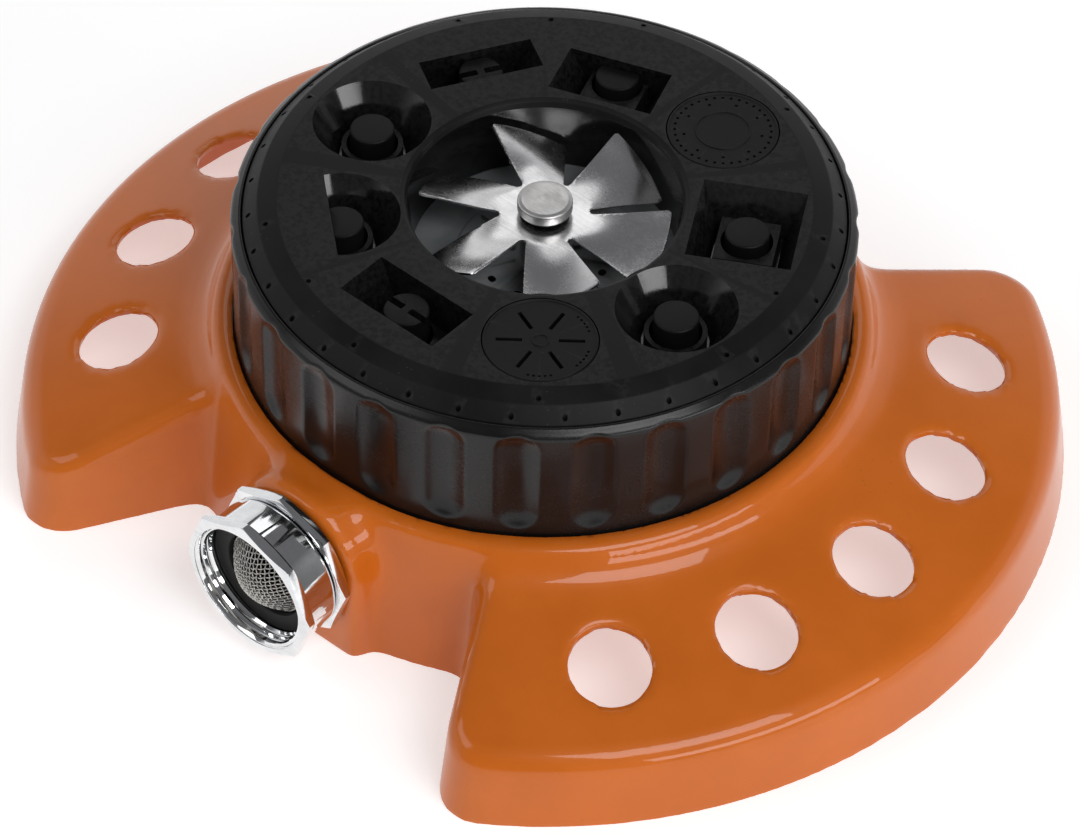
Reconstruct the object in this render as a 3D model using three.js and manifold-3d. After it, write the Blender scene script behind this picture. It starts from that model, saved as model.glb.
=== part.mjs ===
// A nine-pattern turret sprinkler: a cast base with two wings, a black spray turret that turns on it,
// a fan that the centre jets spin, and a swivel coupling for a garden hose.
// Millimetres, +Z up, origin on the ground under the turret's axis, hose inlet towards -Y.
// An angle "theta" is in degrees, seen from above, anticlockwise from the inlet.
// A "distance" on the inlet's axis is measured from the turret's axis.
import * as THREE from "three";
import { mergeVertices } from "three/addons/utils/BufferGeometryUtils.js";
import Module from "manifold-3d";

const wasm = await Module();
wasm.setup();

// Clearances.
const SEAT = 0.3; // between pieces that touch in one body
const RUN = 0.3; // between pieces that turn on each other
const SPIN_GAP = 0.5; // between the turret's grip and the hub's bowl

// Wings of the base casting.
const WING_RADIUS = 110.5; // on the ground
const WING_HALF_ANGLE = 60; // each wing spans this much either side of its middle
const WING_CORNER = 9;
const WALL = 2.2;
const WING_TOP_EDGE = 108;
const WING_EDGE_HEIGHT = 15.8;
const WING_SLOPE = 0.324; // rise of the top towards the hub, per mm
const WING_EDGE_ROUND = 3;
const WING_HOLE_RING = 88.3;
const WING_HOLE_RADIUS = 8.33;
const WING_HOLES = [50, 70, 90, 110, 130]; // theta of the holes in one wing

// Hub, deck and inlet boss of the base casting.
const HUB_BORE = 64.3; // the bowl that the turret sits in
const HUB_RIM = 3.5;
const HUB_FLARE = 4.7; // how much further out the hub's wall stands on the ground
const BOWL_DEPTH = 4.1;
const DECK = 2.5;
const BOSS_RADIUS = 16.4;
const BOSS_REACH = 7.4; // from the hub's rim to the boss's face
const BOSS_RISE = 3.2; // how far the boss rises above the rim
const DUCT_WALL = 2.4;
const DUCT_BORE = 6.6;
const NIPPLE_DEPTH = 9; // depth of the nipple's bore in the boss

// Hose coupling.
const INLET_HEIGHT = 20.4;
const HOSE_BORE = 13.8; // a female 3/4 inch garden hose thread
const OCTAGON_RADIUS = 16.9; // to the corners
const OCTAGON_CHAMFER = 1;
const NUT_LENGTH = 10.1;
const NUT_FLANGE = 2.5;
const NUT_NECK = 15.1;
const NUT_WEB = 1.6; // the inward web that the nipple's lip holds
const NIPPLE_TAIL = 10.5;
const NIPPLE_FLANGE = 2.4;
const NIPPLE_NECK = 8.9;
const NIPPLE_LIP = 11.6;
const LIP_WIDTH = 1.4;
const GASKET = { radius: 14.5, width: 0.5 };
const WASHER_WIDTH = 1.5;
const SCREEN_RADIUS = 9.4;
const SCREEN_DEPTH = 6;
const SCREEN_WALL = 0.6;

// Turret.
const TURRET_GAP = 1.8; // deck to turret, filled by the thrust washer and the port seal
const TURRET_HEIGHT = 34.7;
const GRIP_WALL = 2.2;
const FLUTES = 27;
const FLUTE_DEPTH = 1.2;
const FLUTE_RADIUS = 8.2;
const FLUTE_LANDS = [4.2, 1.7]; // left below and above each flute
const GRIP_SHOULDER = 1.6;
const FACE_EDGE = 54.3; // where the flat face ends
const BEVEL_RING = 58.2;
const BEVEL_DROP = 1.3; // fall over the inner bevel
const RIM_DROP = 4.1; // fall from the face to the groove beside the grip
const FACE_PLATE = 2.8;
const RIM_PLATE = 1.7;
const WELL_RADIUS = 28.3; // the open well over the fan
const WELL_LIP = 1.2;
const WELL_WALL = 2.4;
const FLOOR = 3;
const BODY_WALL = 3.4;
const CORE_WALL = 2.2;
const CORE_LEDGE = 5.3; // carries the plate under the fan
const RIB = 2;
const STATION_RING = 41.5;
const STATIONS = 9;
const PORT_RADIUS = 4.8;
const POCKET_DEPTH = 9;
const POCKET_WALL = 1.6;
const STUD_RADIUS = 4.6;
const STUD_STEM = 3;
const STUD_SINK = 2.1; // stud tops lie this far under the face
const STUD_SLOT = { width: 1.5, depth: 2, bridge: 1.6 };
const NOZZLE_GAP = 0.8; // water leaves round each stud
const COLLAR_SINK = 4.7; // collar tops lie this far under the face
const COLLAR_WALL = 0.6;
const BRIDGE = { width: 6, height: 3.2, length: 30 }; // carries a stud across its chamber
const DISC_RADIUS = 11.5;
const DISC_WIDTH = 2;
const DISC_LEDGE = 2;
const MIST_SLOTS = { count: 6, start: 30, width: 0.9, near: 3.4, far: 8.6 };
const JET_RADIUS = 0.65;
const FINE_JET_RADIUS = 0.4;
const FINE_JETS = [{ count: 36, radius: 9.9 }, { count: 9, radius: 8.1 }];
const OUTER_JETS = { count: 36, radius: 60, start: 5 };
const MIDDLE_JETS = { count: 9, radius: 56.8, start: 0 };
const INNER_JETS = { count: 3, radius: 53.5, start: 100 };
const SCREW_RING = 54.3;
const SCREW_ANGLES = [20, 140, 260];
const SCREW_SHAFT = 1.5;
const SCREW_HEAD = 2.9;
const SCREW_HEAD_HEIGHT = 1.7;
const SCREW_SINK = 0.5; // heads lie this far inside the turret's floor
const SCREW_POST_WALL = 1.6;

// Fan and the plate under it.
const JET_PLATE_SINK = 16.5; // the plate's top, under the face
const JET_PLATE = 2;
const FAN_JETS = { count: 12, radius: 13, start: 15 };
const FAN_JET_RADIUS = 0.8;
const PLATE_BOSS = 5;
const PIN_SHAFT = 2.2;
const PIN_HEAD = 5.65;
const PIN_HEAD_HEIGHT = 2.5;
const PIN_SINK = 1.1; // the pin's head, under the face
const PIN_TAIL = 1.6; // width of the riveted tail, past the shaft and along it
const FAN_SHEET = 0.5;
const FAN_HUB = 9.2;
const FAN_TIP = 25.7;
const BLADES = 6;
const BLADE_START = 14; // theta of the first slot between blades
const BLADE_TAPER = [15, 5]; // degrees lost from root to tip on the trailing and leading edges
const BLADE_RISE = 3.2; // lift of a blade's leading tip
const BLADE_FALL = 5.2; // fall of its trailing tip
const BUSH_WALL = 1.4;
const BUSH_FLANGE = 6.2;
const BUSH_FLANGE_WIDTH = 1.2;
const BUSH_TAIL = 1.9; // below the flange
const BUSH_LIP = 0.35; // above the fan's sheet
const FAN_WASHER = { radius: 5, width: 0.5 };

// Pivot, seal and click spring between the base and the turret.
const BOLT_RADIUS = 3.4;
const BOLT_REACH = 10; // into the turret
const BOLT_HEAD = 6;
const BOLT_HEAD_HEIGHT = 3;
const PIVOT_HUB_WALL = 3.8;
const PIVOT_WASHER = { radius: 8, width: 1.2 };
const SPRING_WIRE = 0.9;
const SPRING_RADIUS = 6;
const SPRING_LENGTH = 12;
const SPRING_TURNS = 4;
const THRUST_INNER = 9;
const THRUST_OUTER = 17;
const SEAL_BORE = 5.4;
const SEAL_RADIUS = 9;
const SEAL_POCKET = 1.2;
const DETENT_RING = 27;
const NOTCH_DEPTH = 1.7;
const NOTCH_HALF = 3.2;
const NOTCH_LENGTH = 8;
const CLICK_SHEET = 0.5;
const CLICK_WIDTH = 5;
const CLICK_FOOT = 5.3; // from the crest to where the strip meets the deck
const CLICK_CREST = 0.7; // gap between the crest and the notch's roof
const CLICK_TAIL = 4;
const CLICK_SCREW_AT = 11; // from the click spring's crest
const CLICK_SCREW_HEAD = 2.2;

// Heights and lengths that follow from the sizes above.
const ductRadius = DUCT_BORE + DUCT_WALL;
const deckTop = INLET_HEIGHT + ductRadius + 0.1;
const deckUnder = deckTop - DECK;
const hubHeight = deckTop + BOWL_DEPTH;
const rimRadius = HUB_BORE + HUB_RIM;
const bossFace = rimRadius + BOSS_REACH;
const turretFloor = deckTop + TURRET_GAP;
const faceTop = turretFloor + TURRET_HEIGHT;
const faceUnder = faceTop - FACE_PLATE;
const rimTop = faceTop - RIM_DROP;
const rimUnder = rimTop - RIM_PLATE;
const gripRadius = HUB_BORE - SPIN_GAP;
const gripBore = gripRadius - GRIP_WALL;
const faceRadius = gripBore - SEAT;
const chamberRadius = faceRadius - BODY_WALL;
const floorTop = turretFloor + FLOOR;
const pocketFloor = faceTop - POCKET_DEPTH;
const chamberTop = pocketFloor - POCKET_WALL - SEAT;
const nozzleRadius = STUD_RADIUS + NOZZLE_GAP;
const studTop = faceTop - STUD_SINK;
const collarTop = faceTop - COLLAR_SINK;
const stationStep = 360 / STATIONS;
const discUnder = faceTop - DISC_WIDTH;
const screwHeadTop = turretFloor + SCREW_SINK + SCREW_HEAD_HEIGHT;
const screwJoint = rimUnder - 2.2; // where the body's posts meet the face's bosses
const screwTip = faceUnder - 1.2;
const screwHole = SCREW_SHAFT + SEAT;
const screwPost = screwHole + SCREW_POST_WALL;
const wellBore = WELL_RADIUS - WELL_LIP;
const wellOuter = wellBore + WELL_WALL;
const plateTop = faceTop - JET_PLATE_SINK;
const plateUnder = plateTop - JET_PLATE;
const coreBore = wellOuter + SEAT;
const bridgeTop = plateTop;
const pinBore = PIN_SHAFT + RUN;
const pinTop = faceTop - PIN_SINK;
const pinHeadUnder = pinTop - PIN_HEAD_HEIGHT;
const fanTop = pinHeadUnder - 2 * RUN - FAN_WASHER.width - BUSH_LIP;
const fanUnder = fanTop - FAN_SHEET;
const bushRadius = pinBore + BUSH_WALL;
const bushFlangeUnder = fanUnder - SEAT - BUSH_FLANGE_WIDTH;
const bushUnder = bushFlangeUnder - BUSH_TAIL;
const boltTop = turretFloor + BOLT_REACH;
const springBottom = deckUnder - SEAT - SPRING_LENGTH;
const flangeBack = bossFace + SEAT + GASKET.width + SEAT;
const flangeFront = flangeBack + NIPPLE_FLANGE;
const nutBack = flangeFront + RUN;
const nutFront = nutBack + NUT_LENGTH;
const webFront = nutBack + NUT_WEB;
const lipFront = webFront + RUN + LIP_WIDTH;

const ROUND = 48; // steps of a large round
const SMALL = 16; // steps of a small round

const finish = (color, roughness, metalness) => () =>
  new THREE.MeshStandardMaterial({ color, roughness, metalness });
const ENAMEL = finish(0xd9721f, 0.25, 0.1);
const BLACK = finish(0x1b1b1b, 0.45, 0);
const CHROME = finish(0xdfe2e4, 0.08, 1);
const STEEL = finish(0xb9bcc0, 0.25, 1);
const NYLON = finish(0xc9ccd0, 0.5, 0);
const RUBBER = finish(0x161616, 0.8, 0);

const radians = THREE.MathUtils.degToRad;

// ---- Shapes ----

// A welded solid from any closed three.js geometry.
function solid(geometry) {
  const bare = new THREE.BufferGeometry();
  bare.setAttribute("position", geometry.getAttribute("position"));
  bare.setIndex(geometry.index);
  const welded = mergeVertices(bare, 1e-4);
  const triangles = [];
  for (let i = 0; i < welded.index.count; i += 3) {
    const [a, b, c] = [0, 1, 2].map((k) => welded.index.getX(i + k));
    if (a !== b && b !== c && c !== a) triangles.push(a, b, c);
  }
  return new wasm.Manifold(
    new wasm.Mesh({
      numProp: 3,
      vertProperties: welded.attributes.position.array,
      triVerts: new Uint32Array(triangles),
    }),
  );
}

function geometryOf(shape) {
  const mesh = shape.getMesh();
  const geometry = new THREE.BufferGeometry();
  geometry.setAttribute("position", new THREE.BufferAttribute(mesh.vertProperties, 3));
  geometry.setIndex(new THREE.BufferAttribute(mesh.triVerts, 1));
  geometry.computeVertexNormals();
  return geometry;
}

const union = (shapes) => shapes.reduce((all, one) => all.add(one));

// Turned about Z from [radius, height] points, up the outside and back down to the start.
function turned(profile, steps = ROUND) {
  const points = profile.map(([r, z]) => new THREE.Vector2(r, z));
  return new THREE.LatheGeometry(points, steps).rotateX(Math.PI / 2);
}

const ring = (profile, steps) => turned([...profile, profile[0]], steps);

const tube = (inner, outer, low, high, steps) =>
  ring([[inner, low], [outer, low], [outer, high], [inner, high]], steps);

const rod = (radius, low, high, steps = SMALL) =>
  turned([[0, low], [radius, low], [radius, high], [0, high]], steps);

// [x, y] points extruded between two heights.
function prism(points, low, high) {
  const shape = new THREE.Shape(points.map(([x, y]) => new THREE.Vector2(x, y)));
  const settings = { depth: high - low, bevelEnabled: false };
  return new THREE.ExtrudeGeometry(shape, settings).translate(0, 0, low);
}

// A box given by its ranges along X, along the way out to the inlet, and along Z.
function block([x0, x1], [out0, out1], [z0, z1]) {
  const box = new THREE.BoxGeometry(x1 - x0, out1 - out0, z1 - z0);
  return box.translate((x0 + x1) / 2, -(out0 + out1) / 2, (z0 + z1) / 2);
}

// Lays a geometry made along Z down, so that Z runs out towards the inlet and Y runs up.
const lying = (geometry) => geometry.rotateX(Math.PI / 2);

const alongInlet = (geometry) => lying(geometry).translate(0, 0, INLET_HEIGHT);

// Moves a geometry made on the turret's axis out to a radius, then round to theta.
const atTheta = (geometry, radius, theta) =>
  geometry.translate(0, -radius, 0).rotateZ(radians(theta));

const evenly = ({ count, start = 0 }) =>
  Array.from({ length: count }, (_, i) => start + (i * 360) / count);

// Upright holes on a ring.
const drilled = (holes, radius, low, high, steps) =>
  union(evenly(holes).map((theta) => solid(atTheta(rod(radius, low, high, steps), holes.radius, theta))));

// A closed solid between two outlines of as many [x, y] points, at two heights.
function loft(lower, upper, low, high) {
  const count = lower.length;
  const position = [];
  for (const [x, y] of lower) position.push(x, y, low);
  for (const [x, y] of upper) position.push(x, y, high);
  const contour = lower.map(([x, y]) => new THREE.Vector2(x, y));
  const index = [];
  for (const [a, b, c] of THREE.ShapeUtils.triangulateShape(contour, [])) {
    index.push(c, b, a);
    index.push(a + count, b + count, c + count);
  }
  for (let i = 0; i < count; i++) {
    const next = (i + 1) % count;
    index.push(i, next, next + count);
    index.push(i, next + count, i + count);
  }
  const geometry = new THREE.BufferGeometry();
  geometry.setAttribute("position", new THREE.Float32BufferAttribute(position, 3));
  geometry.setIndex(index);
  return geometry;
}

// ---- Base casting ----

// Outline of a wing that points along +X, with its sides moved in by "inset".
function wingOutline(radius, inset) {
  const half = radians(WING_HALF_ANGLE);
  const centreRadius = radius - WING_CORNER;
  const centreAngle = half - Math.asin((WING_CORNER + inset) / centreRadius);
  const upper = [];
  for (let i = 0; i <= 8; i++) {
    const angle = (centreAngle * i) / 8;
    upper.push([radius * Math.cos(angle), radius * Math.sin(angle)]);
  }
  const cornerTurn = half + Math.PI / 2 - centreAngle;
  for (let i = 1; i <= 4; i++) {
    const angle = centreAngle + (cornerTurn * i) / 4;
    upper.push([
      centreRadius * Math.cos(centreAngle) + WING_CORNER * Math.cos(angle),
      centreRadius * Math.sin(centreAngle) + WING_CORNER * Math.sin(angle),
    ]);
  }
  const inner = HUB_BORE - 6;
  upper.push([
    inner * Math.cos(half) + inset * Math.sin(half),
    inner * Math.sin(half) - inset * Math.cos(half),
  ]);
  const lower = upper.slice(1).map(([x, y]) => [x, -y]);
  return [...lower.reverse(), ...upper];
}

const wingTop = (radius) => WING_EDGE_HEIGHT + (WING_TOP_EDGE - radius) * WING_SLOPE;

// Everything under a wing's coned top, its rounded edge and its rise to the hub, less a skin.
function underWingTop(skin) {
  const edge = WING_TOP_EDGE - skin;
  const inside = HUB_BORE - 4;
  const outside = WING_RADIUS + 5;
  const crest = hubHeight - 2;
  const profile = [
    [inside, -2],
    [outside, -2],
    [outside, WING_EDGE_HEIGHT / 3],
    [edge + 0.2 * WING_EDGE_ROUND, WING_EDGE_HEIGHT - WING_EDGE_ROUND],
    [edge - 0.1 * WING_EDGE_ROUND, WING_EDGE_HEIGHT - 0.3 * WING_EDGE_ROUND],
    [edge - 0.9 * WING_EDGE_ROUND, wingTop(edge - 0.9 * WING_EDGE_ROUND)],
    [rimRadius + 3.8, wingTop(rimRadius + 3.8)],
    [rimRadius + 1.6, wingTop(rimRadius + 1.6) + 0.9],
    [rimRadius + 0.5, crest],
    [inside, crest],
  ];
  return ring(profile.map(([r, z], i) => [r, i < 2 ? z : z - skin]));
}

function wing(turn) {
  const top = hubHeight + 2;
  const taper = ((WING_RADIUS - WING_TOP_EDGE) * top) / WING_EDGE_HEIGHT;
  const shape = (skin, low) =>
    loft(
      wingOutline(WING_RADIUS - skin, skin),
      wingOutline(WING_RADIUS - taper - skin, skin + taper / 2),
      low,
      top,
    ).rotateZ(turn);
  const outer = solid(shape(0, 0)).intersect(solid(underWingTop(0)));
  const hollow = solid(shape(WALL, -1)).intersect(solid(underWingTop(WALL)));
  const holes = WING_HOLES.map((theta) => {
    const hole = rod(WING_HOLE_RADIUS, WALL, hubHeight, 18);
    return solid(atTheta(hole, WING_HOLE_RING, theta).rotateZ(turn));
  });
  return outer.subtract(hollow).subtract(union(holes));
}

const hubWallTop = rimRadius + 0.9 - WALL;
const hubWallGround = rimRadius + HUB_FLARE - WALL;

// Wall, rim and deck, with the hole for the pivot bolt.
const hub = () =>
  ring([
    [hubWallGround, 0],
    [hubWallGround + WALL, 0],
    [rimRadius + 0.4, hubHeight - 2.4],
    [rimRadius, hubHeight - 0.8],
    [rimRadius - 0.9, hubHeight],
    [HUB_BORE + 0.7, hubHeight],
    [HUB_BORE, hubHeight - 0.7],
    [HUB_BORE, deckTop],
    [BOLT_RADIUS + RUN, deckTop],
    [BOLT_RADIUS + RUN, deckUnder],
    [hubWallTop, deckUnder],
  ]);

// The inlet's saddle: an arch with legs down to the ground, its top falling back to the rim.
function boss() {
  const arch = Array.from({ length: 13 }, (_, i) => {
    const angle = (Math.PI * i) / 12;
    return [BOSS_RADIUS * Math.cos(angle), BOSS_RADIUS * Math.sin(angle)];
  });
  const outline = [...arch, [-BOSS_RADIUS, -INLET_HEIGHT], [BOSS_RADIUS, -INLET_HEIGHT]];
  const saddle = solid(alongInlet(prism(outline, HUB_BORE + 0.7, bossFace)));
  const crest = hubHeight + BOSS_RISE;
  const fall = turned([
    [0, -1],
    [bossFace + 9, -1],
    [bossFace + 9, crest],
    [bossFace - 3, crest],
    [rimRadius - 1, hubHeight],
    [0, hubHeight],
  ]);
  return saddle.intersect(solid(fall));
}

function clickScrewHole(radius, low, high) {
  const hole = rod(radius, low, high, 12).translate(CLICK_SCREW_AT, 0, 0);
  return atTheta(hole, DETENT_RING, 180);
}

// Clears the hub's wall away under the wings, so that the base has one open underside.
function underWings() {
  const reach = WING_RADIUS - WALL;
  const inset = WALL + ((WING_RADIUS - WING_TOP_EDGE) * deckUnder) / WING_EDGE_HEIGHT / 2;
  const outline = wingOutline(reach, inset);
  const band = tube(HUB_BORE - 4, rimRadius + HUB_FLARE + 1, -1, deckUnder);
  const wings = [0, Math.PI].map((turn) => solid(prism(outline, -1, deckUnder).rotateZ(turn)));
  return union(wings).intersect(solid(band));
}

function baseCasting() {
  const insideHub = turned([
    [0, -1],
    [hubWallGround, -1],
    [hubWallTop, deckUnder],
    [HUB_BORE, deckUnder],
    [HUB_BORE, hubHeight + 5],
    [0, hubHeight + 5],
  ]);
  const wings = union([wing(0), wing(Math.PI)]).subtract(solid(insideHub));
  const duct = rod(ductRadius, STATION_RING - ductRadius, HUB_BORE + 2);
  const nippleBore = rod(NIPPLE_TAIL + SEAT, bossFace - NIPPLE_DEPTH, bossFace + 1, 24);
  const waterway = rod(DUCT_BORE, STATION_RING - DUCT_BORE, bossFace + 1);
  const port = rod(SEAL_BORE, INLET_HEIGHT, deckTop + 1);
  const sealPocket = rod(SEAL_RADIUS + SEAT, deckTop - SEAL_POCKET, deckTop + 1, 24);
  const wall = solid(hub()).subtract(underWings());
  return union([wings, wall, boss(), solid(alongInlet(duct))]).subtract(
    union([
      solid(alongInlet(nippleBore)),
      solid(alongInlet(waterway)),
      solid(atTheta(port, STATION_RING, 0)),
      solid(atTheta(sealPocket, STATION_RING, 0)),
      solid(clickScrewHole(SCREW_SHAFT + SEAT, deckUnder - 1, deckTop + 1)),
    ]),
  );
}

// ---- Hose coupling ----

// An eight-sided flange with its corners chamfered on both faces.
function octagonFlange(back, front) {
  const corners = Array.from({ length: 8 }, (_, i) => {
    const angle = radians(2.5 + 45 * i);
    return [OCTAGON_RADIUS * Math.cos(angle), OCTAGON_RADIUS * Math.sin(angle)];
  });
  const width = Math.min(OCTAGON_CHAMFER, (front - back) / 3);
  const round = turned([
    [0, back],
    [OCTAGON_RADIUS - OCTAGON_CHAMFER, back],
    [OCTAGON_RADIUS, back + width / 2],
    [OCTAGON_RADIUS, front - width / 2],
    [OCTAGON_RADIUS - OCTAGON_CHAMFER, front],
    [0, front],
  ], 32);
  return solid(prism(corners, back, front)).intersect(solid(round));
}

function inletNipple() {
  const body = turned([
    [0, bossFace - NIPPLE_DEPTH + SEAT],
    [NIPPLE_TAIL, bossFace - NIPPLE_DEPTH + SEAT],
    [NIPPLE_TAIL, flangeBack + 0.2],
    [NIPPLE_NECK, flangeBack + 0.2],
    [NIPPLE_NECK, webFront + RUN],
    [NIPPLE_LIP, webFront + RUN],
    [NIPPLE_LIP, lipFront],
    [0, lipFront],
  ], 24);
  const bore = rod(DUCT_BORE, bossFace - NIPPLE_DEPTH - 1, lipFront + 1);
  return solid(body).add(octagonFlange(flangeBack, flangeFront)).subtract(solid(bore));
}

function swivelNut() {
  const neck = rod(NUT_NECK, nutBack, nutFront, 32);
  const bore = solid(rod(HOSE_BORE, webFront, nutFront + 1, 32));
  const collar = solid(rod(NIPPLE_NECK + RUN, nutBack - 1, webFront + 1, 24));
  return solid(neck).add(octagonFlange(nutFront - NUT_FLANGE, nutFront)).subtract(bore.add(collar));
}

// The strainer's dome bulges towards the mouth from its seat on the nipple's lip.
function strainerScreen() {
  const seat = lipFront + SEAT;
  const dome = (radius, depth) =>
    Array.from({ length: 7 }, (_, i) => {
      const angle = (Math.PI / 2) * (i / 6);
      return [i === 6 ? 0 : radius * Math.cos(angle), seat + depth * Math.sin(angle)];
    });
  const outer = dome(SCREEN_RADIUS, SCREEN_DEPTH);
  const inner = dome(SCREEN_RADIUS - SCREEN_WALL, SCREEN_DEPTH - SCREEN_WALL);
  return solid(turned([...inner.reverse(), ...outer], 18));
}

// ---- Turret ----

function gripRing() {
  const low = turretFloor;
  const body = ring([
    [gripBore, low],
    [gripRadius - 0.5, low],
    [gripRadius, low + 0.5],
    [gripRadius, rimTop - GRIP_SHOULDER],
    [gripRadius - 0.6, rimTop - 0.4],
    [gripRadius - 1.5, rimTop],
    [gripBore, rimTop],
  ], 2 * FLUTES);
  const flute = rod(FLUTE_RADIUS, low + FLUTE_LANDS[0], rimTop - FLUTE_LANDS[1], 16);
  const centre = gripRadius - FLUTE_DEPTH + FLUTE_RADIUS;
  const flutes = evenly({ count: FLUTES }).map((theta) =>
    solid(atTheta(flute.clone(), centre, theta)),
  );
  return solid(body).subtract(union(flutes));
}

// Chambers under the nine stations, a core for the fan's plate, and the pivot's hub.
function turretBody() {
  const top = rimUnder - SEAT;
  const groove = [OUTER_JETS.radius - 0.7, OUTER_JETS.radius + 0.7];
  const pivotHub = BOLT_RADIUS + SEAT + PIVOT_HUB_WALL;
  const ledge = coreBore - CORE_LEDGE;
  const coreOuter = coreBore + CORE_WALL;
  const body = turned([
    [0, boltTop + SEAT],
    [BOLT_RADIUS + SEAT, boltTop + SEAT],
    [BOLT_RADIUS + SEAT, turretFloor],
    [faceRadius, turretFloor],
    [faceRadius, top],
    [groove[1], top],
    [groove[1], top - 3],
    [groove[0], top - 3],
    [groove[0], top],
    [chamberRadius, top],
    [chamberRadius, floorTop],
    [coreOuter, floorTop],
    [coreOuter, chamberTop],
    [coreBore, chamberTop],
    [coreBore, plateUnder - SEAT],
    [ledge, plateUnder - SEAT],
    [ledge, floorTop],
    [pivotHub, floorTop],
    [pivotHub, boltTop + 2],
    [0, boltTop + 2],
  ], 40);
  const ribs = evenly({ count: STATIONS, start: stationStep / 2 }).map((theta) => {
    const rib = block([-RIB / 2, RIB / 2], [coreOuter - 1, chamberRadius + 1], [floorTop - 1, chamberTop]);
    return solid(rib.rotateZ(radians(theta)));
  });
  const bridges = STUDS.map(({ theta }) => {
    const [near, far] = [STATION_RING - BRIDGE.width / 2, STATION_RING + BRIDGE.width / 2];
    const bridge = block(
      [-BRIDGE.length / 2, BRIDGE.length / 2],
      [near, far],
      [bridgeTop - BRIDGE.height, bridgeTop],
    );
    return solid(bridge.rotateZ(radians(theta)));
  });
  const posts = SCREW_ANGLES.map((theta) =>
    solid(atTheta(rod(screwPost, floorTop - 1, screwJoint - SEAT, 12), SCREW_RING, theta)),
  );
  const cuts = SCREW_ANGLES.flatMap((theta) => [
    solid(atTheta(rod(screwHole, turretFloor - 1, rimUnder, 12), SCREW_RING, theta)),
    solid(atTheta(rod(SCREW_HEAD + SEAT, turretFloor - 1, screwHeadTop + SEAT, 12), SCREW_RING, theta)),
  ]);
  const notch = lying(
    prism(
      [[-NOTCH_HALF, -1], [NOTCH_HALF, -1], [NOTCH_HALF, 0], [0, NOTCH_DEPTH], [-NOTCH_HALF, 0]],
      DETENT_RING - NOTCH_LENGTH / 2,
      DETENT_RING + NOTCH_LENGTH / 2,
    ),
  ).translate(0, 0, turretFloor);
  const notches = evenly({ count: STATIONS, start: stationStep / 2 }).map((theta) =>
    solid(notch.clone().rotateZ(radians(theta))),
  );
  const ports = drilled(
    { count: STATIONS, radius: STATION_RING },
    PORT_RADIUS,
    turretFloor - 1,
    floorTop + 1,
  );
  return union([solid(body), ...ribs, ...bridges, ...posts]).subtract(
    union([ports, ...cuts, ...notches]),
  );
}

// The pockets: "across" is the half-width along the rim, "out" is the range of radii,
// each given at the pocket's floor and at the face. A cone has a radius instead.
// A "flat" is an upright wall at that radius, which trims the pocket, its collar and its stud.
const STUDS = [
  {
    name: "slotted_stud_front",
    theta: 0,
    across: [8, 12.2],
    near: [36, 35.5],
    far: [47, 47.5],
    slot: true,
  },
  { name: "cone_stud_right", theta: 80, cone: [6.8, 12.3], collar: "round" },
  {
    name: "square_stud_right",
    theta: 120,
    across: [6.6, 11.2],
    near: [34.6, 30.6],
    far: [48.2, 52],
    collar: "square",
  },
  {
    name: "square_stud_rear",
    theta: 200,
    across: [6.6, 11],
    near: [34.6, 30.6],
    far: [43.5, 43.5],
    flat: 43.5,
    collar: "square",
  },
  {
    name: "slotted_stud_rear",
    theta: 240,
    across: [8, 12.2],
    near: [37.2, 37.2],
    far: [45.8, 45.8],
    slot: true,
  },
  { name: "cone_stud_left", theta: 280, cone: [6.8, 12.2], collar: "round" },
  { name: "cone_stud_front", theta: 320, cone: [6.8, 12], flat: 43.6, collar: "round" },
];
const DISCS = [
  { name: "mist_disc", theta: 40, shape: mistDisc },
  { name: "shower_disc", theta: 160, shape: showerDisc },
];

// Everything nearer the axis than a station's flat wall, less a gap.
const insideFlat = ({ flat = HUB_BORE }, gap) =>
  solid(block([-20, 20], [STATION_RING - 20, flat - gap], [turretFloor, faceTop + 5]));

// A station's pocket, grown by "skin" on its sides, between two heights.
function pocket(station, skin, low, high) {
  const at = ([floor, face], height) =>
    floor + ((face - floor) * (height - pocketFloor)) / POCKET_DEPTH;
  if (station.cone) {
    const [floorRadius, faceEdge] = [low, high].map((height) => at(station.cone, height) + skin);
    const cone = turned([[0, low], [floorRadius, low], [faceEdge, high], [0, high]], 24);
    return solid(cone.translate(0, -STATION_RING, 0)).intersect(insideFlat(station, -skin));
  }
  const outline = (height) => {
    const across = at(station.across, height) + skin;
    const near = -at(station.near, height) + skin;
    const far = -at(station.far, height) - skin;
    return [[-across, far], [across, far], [across, near], [-across, near]];
  };
  return solid(loft(outline(low), outline(high), low, high));
}

function collar(station) {
  const reach = nozzleRadius + COLLAR_WALL;
  const [near, far] = [STATION_RING - reach, STATION_RING + reach];
  const shape =
    station.collar === "square"
      ? block([-reach, reach], [near, far], [pocketFloor - 1, collarTop])
      : rod(reach + 0.3, pocketFloor - 1, collarTop - 1.5).translate(0, -STATION_RING, 0);
  return solid(shape).intersect(insideFlat(station, -POCKET_WALL));
}

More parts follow.
